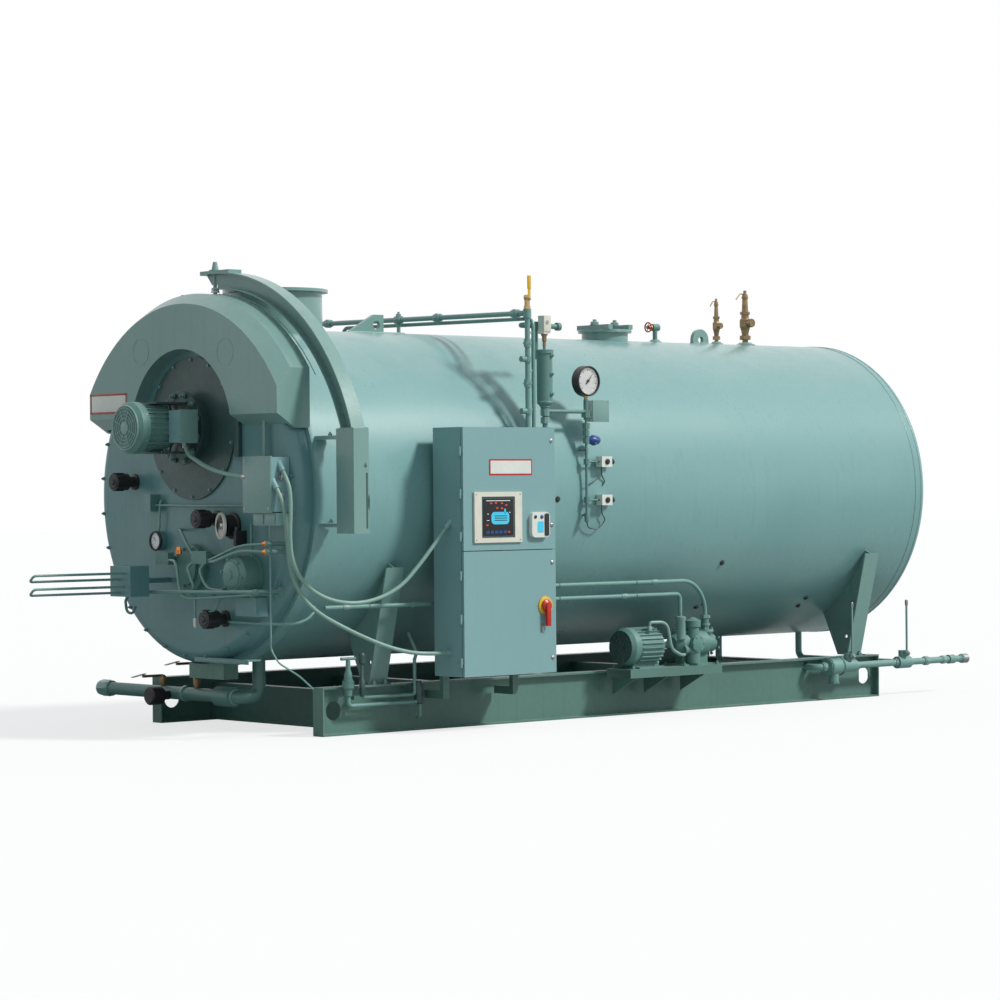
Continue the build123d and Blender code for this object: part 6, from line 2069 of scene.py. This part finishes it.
@dataclass
class NearDrainPiping(SubAssembly):
    """The small drain valves and pipes beside the near rail, ahead of the front saddle."""

    y: float = -0.96
    valve_x: float = -2.391
    stem_x: float = -2.28

    def build(self) -> list[Piece]:
        """Makes the drain valves, their pipes and their clips to the rail."""
        y = self.y
        pipes = Blank("rail_drain_pipes")
        pipes.pipe(
            [(self.valve_x, y, 0.4), (self.valve_x, y, 0.186), (-1.853, y, 0.186), (-1.82, y, 0.186)], 0.014, 0.03
        )
        pipes.pipe([
            (self.stem_x, y, 0.36), (self.stem_x, y, 0.233), (-1.9, y, 0.233), (-1.853, y, 0.233), (-1.853, y, 0.464)
        ], 0.011, 0.03)
        pipes.pipe([(-1.811, y, 0.258), (-1.811, y, 0.09), (-1.811, -0.925, 0.08)], 0.01, 0.02)
        pipes.pipe([(-1.853, y, 0.45), (-1.853, -0.98, 0.5), (-1.853, -0.9, 0.62)], 0.011, 0.04)
        valve = Blank("rail_drain_valve")
        valve.turned((self.valve_x, y, 0.24), UP, [
            (0, 0.016), (0.01, 0.024), (0.045, 0.026), (0.06, 0.038), (0.1, 0.038), (0.115, 0.026), (0.15, 0.024),
            (0.17, 0.016), (0.235, 0.014)
        ], 24)
        valve.turned(
            (self.valve_x - 0.06, y, 0.482), BACK, [(0, 0.005), (0.004, 0.01), (0.116, 0.01), (0.12, 0.005)], 14
        )
        thin = Blank("rail_gauge_valve")
        thin.turned((self.stem_x, y, 0.24), UP, [
            (0, 0.013), (0.02, 0.018), (0.1, 0.018), (0.11, 0.012), (0.2, 0.01), (0.21, 0.02), (0.26, 0.022),
            (0.275, 0.012)
        ], 20)
        dark = Blank("rail_check_valve")
        dark.turned((-1.82, y, 0.17), UP, [(0, 0.016), (0.01, 0.028), (0.1, 0.032), (0.13, 0.026), (0.15, 0.014)], 20)
        clips = Blank("rail_pipe_clips")
        for x in (-2.33, -2.05, -1.93):
            for z in (0.186, 0.233):
                clips.box((x - 0.01, y + 0.006, z - 0.012), (x + 0.01, -0.9225, z + 0.012), 0.002)
        return self.dress(
            (pipes, Finish.PIPE), (valve, Finish.CAST), (thin, Finish.DARK), (dark, Finish.DARK), (clips, Finish.RAIL)
        )


@dataclass
class DrainTrim(SubAssembly):
    """The flange, cap and weld beads of the wide front drain."""

    x: float = -2.69
    z: float = 0.222

    def build(self) -> list[Piece]:
        """Makes the front drain's trim."""
        beads = Blank("front_drain_beads")
        for y in (-0.17, 0.0, 0.36, 1.22):
            beads.turned((self.x, y, self.z), FAR, [(-0.014, 0.044), (-0.01, 0.052), (0.01, 0.052), (0.014, 0.044)], 28)
        cap = Blank("front_drain_cap").turned(
            (self.x, 1.33, self.z), NEAR, [(0.0, 0.0), (0.0, 0.052), (0.02, 0.056), (0.1, 0.056), (0.104, 0.05)], 8
        )
        plug = Blank("drain_stub_cap").turned((self.x - 0.04, 0.5, self.z - 0.012), FRONT, [
            (0, 0.03), (0.06, 0.03), (0.06, 0.056), (0.08, 0.06), (0.15, 0.06), (0.16, 0.05), (0.16, 0)
        ], 28)
        return self.dress((beads, Finish.PIPE), (cap, Finish.PIPE), (plug, Finish.BLACK))


@dataclass
class RearTrim(SubAssembly):
    """The bolts and grips of the rear cover."""

    axis: float = 1.51
    face: float = 2.957

    def build(self) -> list[Piece]:
        """Makes the rear cover's bolts and handles."""
        bolts = Blank("rear_cover_bolts")
        for y, z in circle_places(16, 0.298, (0.0, self.axis), 11.25):
            bolts.nut((3.0025, y, z), BACK, 0.018, 0.016, 0.012)
        grips = Blank("rear_cover_grips")
        for way in (-1, 1):
            y = way * 0.13
            grips.pipe([
                (3.0015, y, self.axis - 0.07), (3.045, y, self.axis - 0.07), (3.045, y, self.axis + 0.07),
                (3.0015, y, self.axis + 0.07)
            ], 0.009, 0.03, 12)
        return self.dress((bolts, Finish.SAGE), (grips, Finish.SAGE))


# Light and camera


@dataclass
class Studio:
    """The floor, the light and the camera at the photograph's angle."""

    shop: PaintShop
    place: Point = (-14.6263, -16.4393, 1.5363)
    heading: float = 48.8926
    pitch: float = -0.2072
    roll: float = -0.5067
    lens: float = 113.61
    sky: float = 0.42
    sky_tint: Colour = (0.79, 0.96, 1.0)
    sun: float = 2.85
    sun_tint: Colour = (1.0, 0.985, 0.95)
    sun_spread: float = 9.0
    sun_from: Point = (0.42, -0.62, 0.68)
    floor_size: float = 90.0
    floor_drop: float = 0.001
    floor_lift: float = 0.54
    floor_glow: float = 0.72

    def build(self) -> None:
        """Sets up the whole studio."""
        self._camera()
        self._world()
        self._sun()
        self._floor()

    def _camera(self) -> None:
        """Puts the camera where the photograph was taken from."""
        bpy.context.scene.view_settings.view_transform = "Standard"
        heading, pitch, roll = (math.radians(a) for a in (self.heading, self.pitch, self.roll))
        ahead = Vector((math.cos(heading), math.sin(heading), 0))
        right = Vector((math.sin(heading), -math.cos(heading), 0))
        up = Vector(UP) * math.cos(pitch) - ahead * math.sin(pitch)
        back = -(ahead * math.cos(pitch) + Vector(UP) * math.sin(pitch))
        level, upright = right * math.cos(roll) + up * math.sin(roll), up * math.cos(roll) - right * math.sin(roll)
        data = bpy.data.cameras.new("photo_camera")
        data.lens = self.lens
        data.sensor_width = 36.0
        data.clip_end = 200.0
        camera = bpy.data.objects.new("photo_camera", data)
        bpy.context.scene.collection.objects.link(camera)
        turn = Matrix((level, upright, back)).transposed().to_4x4()
        camera.matrix_world = Matrix.Translation(self.place) @ turn
        bpy.context.scene.camera = camera

    def _world(self) -> None:
        """Makes an even sky that the camera sees as white."""
        world = bpy.data.worlds.new("pale_sky")
        bpy.context.scene.world = world
        world.use_nodes = True
        tree = world.node_tree
        tree.nodes.clear()
        path = tree.nodes.new("ShaderNodeLightPath")
        seen = self._any_of(tree, path)
        soft, white = tree.nodes.new("ShaderNodeBackground"), tree.nodes.new("ShaderNodeBackground")
        fill(soft, Color=self.sky_tint, Strength=self.sky)
        fill(white, Color=(1.0, 1.0, 1.0, 1.0), Strength=1.0)
        mix, out = tree.nodes.new("ShaderNodeMixShader"), tree.nodes.new("ShaderNodeOutputWorld")
        tree.links.new(seen, mix.inputs[0])
        link(soft, 0, mix, 1)
        link(white, 0, mix, 2)
        link(mix, 0, out, "Surface")

    @staticmethod
    def _any_of(tree: Tree, path: Node) -> Socket:
        """Joins the camera, glossy and transmission rays.

        Args:
            tree: The tree that the nodes go in.
            path: The Light Path node.

        Returns:
            A socket that is 1 for any of those rays.
        """
        joined = path.outputs["Is Camera Ray"]
        for label in ("Is Glossy Ray", "Is Transmission Ray"):
            larger = tree.nodes.new("ShaderNodeMath")
            larger.operation = "MAXIMUM"
            tree.links.new(joined, larger.inputs[0])
            tree.links.new(path.outputs[label], larger.inputs[1])
            joined = larger.outputs["Value"]
        return joined

    def _sun(self) -> None:
        """Hangs a soft sun high on the control side, towards the rear."""
        data = bpy.data.lights.new("soft_sun", "SUN")
        data.energy = self.sun
        data.angle = math.radians(self.sun_spread)
        data.color = self.sun_tint
        lamp = bpy.data.objects.new("soft_sun", data)
        bpy.context.scene.collection.objects.link(lamp)
        lamp.rotation_euler = Vector(self.sun_from).to_track_quat("Z", "Y").to_euler()

    def _floor(self) -> None:
        """Lays the pale floor that the skid stands on."""
        mesh = bmesh.new()
        bmesh.ops.create_grid(mesh, x_segments=2, y_segments=2, size=self.floor_size)
        data = bpy.data.meshes.new("pale_floor")
        mesh.to_mesh(data)
        mesh.free()
        floor = bpy.data.objects.new("pale_floor", data)
        bpy.context.scene.collection.objects.link(floor)
        floor.location = (0, 0, -self.floor_drop)
        material, shader = new_material("floor_card")
        tree = material.node_tree
        mottle = group_node(
            tree, self.shop.effects.mottle, Color=(0.42, 0.42, 0.42), Second_Color=(0.4, 0.4, 0.4), Scale=0.4
        )
        path = tree.nodes.new("ShaderNodeLightPath")
        paler = tree.nodes.new("ShaderNodeVectorMath")
        paler.operation = "MULTIPLY_ADD"
        paler.inputs[1].default_value = (self.floor_lift,) * 3
        link(path, "Is Camera Ray", paler, 0)
        link(mottle, "Color", paler, 2)
        link(paler, "Vector", shader, "Base Color")
        fill(shader, Roughness=0.9)
        glow = tree.nodes.new("ShaderNodeEmission")
        fill(glow, Color=(1.0, 1.0, 1.0, 1.0))
        mix = tree.nodes.new("ShaderNodeMixShader")
        share = tree.nodes.new("ShaderNodeMath")
        share.operation = "MULTIPLY"
        share.inputs[1].default_value = self.floor_glow
        link(path, "Is Camera Ray", share, 0)
        link(share, "Value", mix, 0)
        link(shader, "BSDF", mix, 1)
        link(glow, "Emission", mix, 2)
        tree.links.new(mix.outputs[0], tree.nodes["Material Output"].inputs["Surface"])
        data.materials.append(material)


def main() -> None:
    """Dresses the boiler and sets the studio round it."""
    logging.basicConfig(level=logging.INFO, format="%(name)s: %(message)s")
    shop = PaintShop()
    Studio(shop).build()
    assemblies: list[SubAssembly] = [
        CarriedSolids(shop),
        Conduit(shop, "upper_conduit", UPPER_ROUTE, 1.95),
        Conduit(shop, "lower_conduit", LOWER_ROUTE, 1.79),
        JacketTrim(shop),
        SkidTrim(shop),
        HeadTubes(shop),
        HeadFittings(shop),
        HoodTrim(shop),
        BlowerTrim(shop),
        DavitTrim(shop),
        WiringBoxTrim(shop),
        CrossPipeTrim(shop),
        ColumnTrim(shop),
        GaugeTrim(shop),
        TopTrim(shop),
        CabinetTrim(shop),
        PumpTrim(shop),
        SidePipeTrim(shop),
        BlowdownTrim(shop),
        NearDrainPiping(shop),
        DrainTrim(shop),
        RearTrim(shop),
    ]
    for assembly in assemblies:
        made = assembly.build()
        LOG.info("%s: %d pieces", type(assembly).__name__, len(made))


if __name__ == "__main__":
    main()
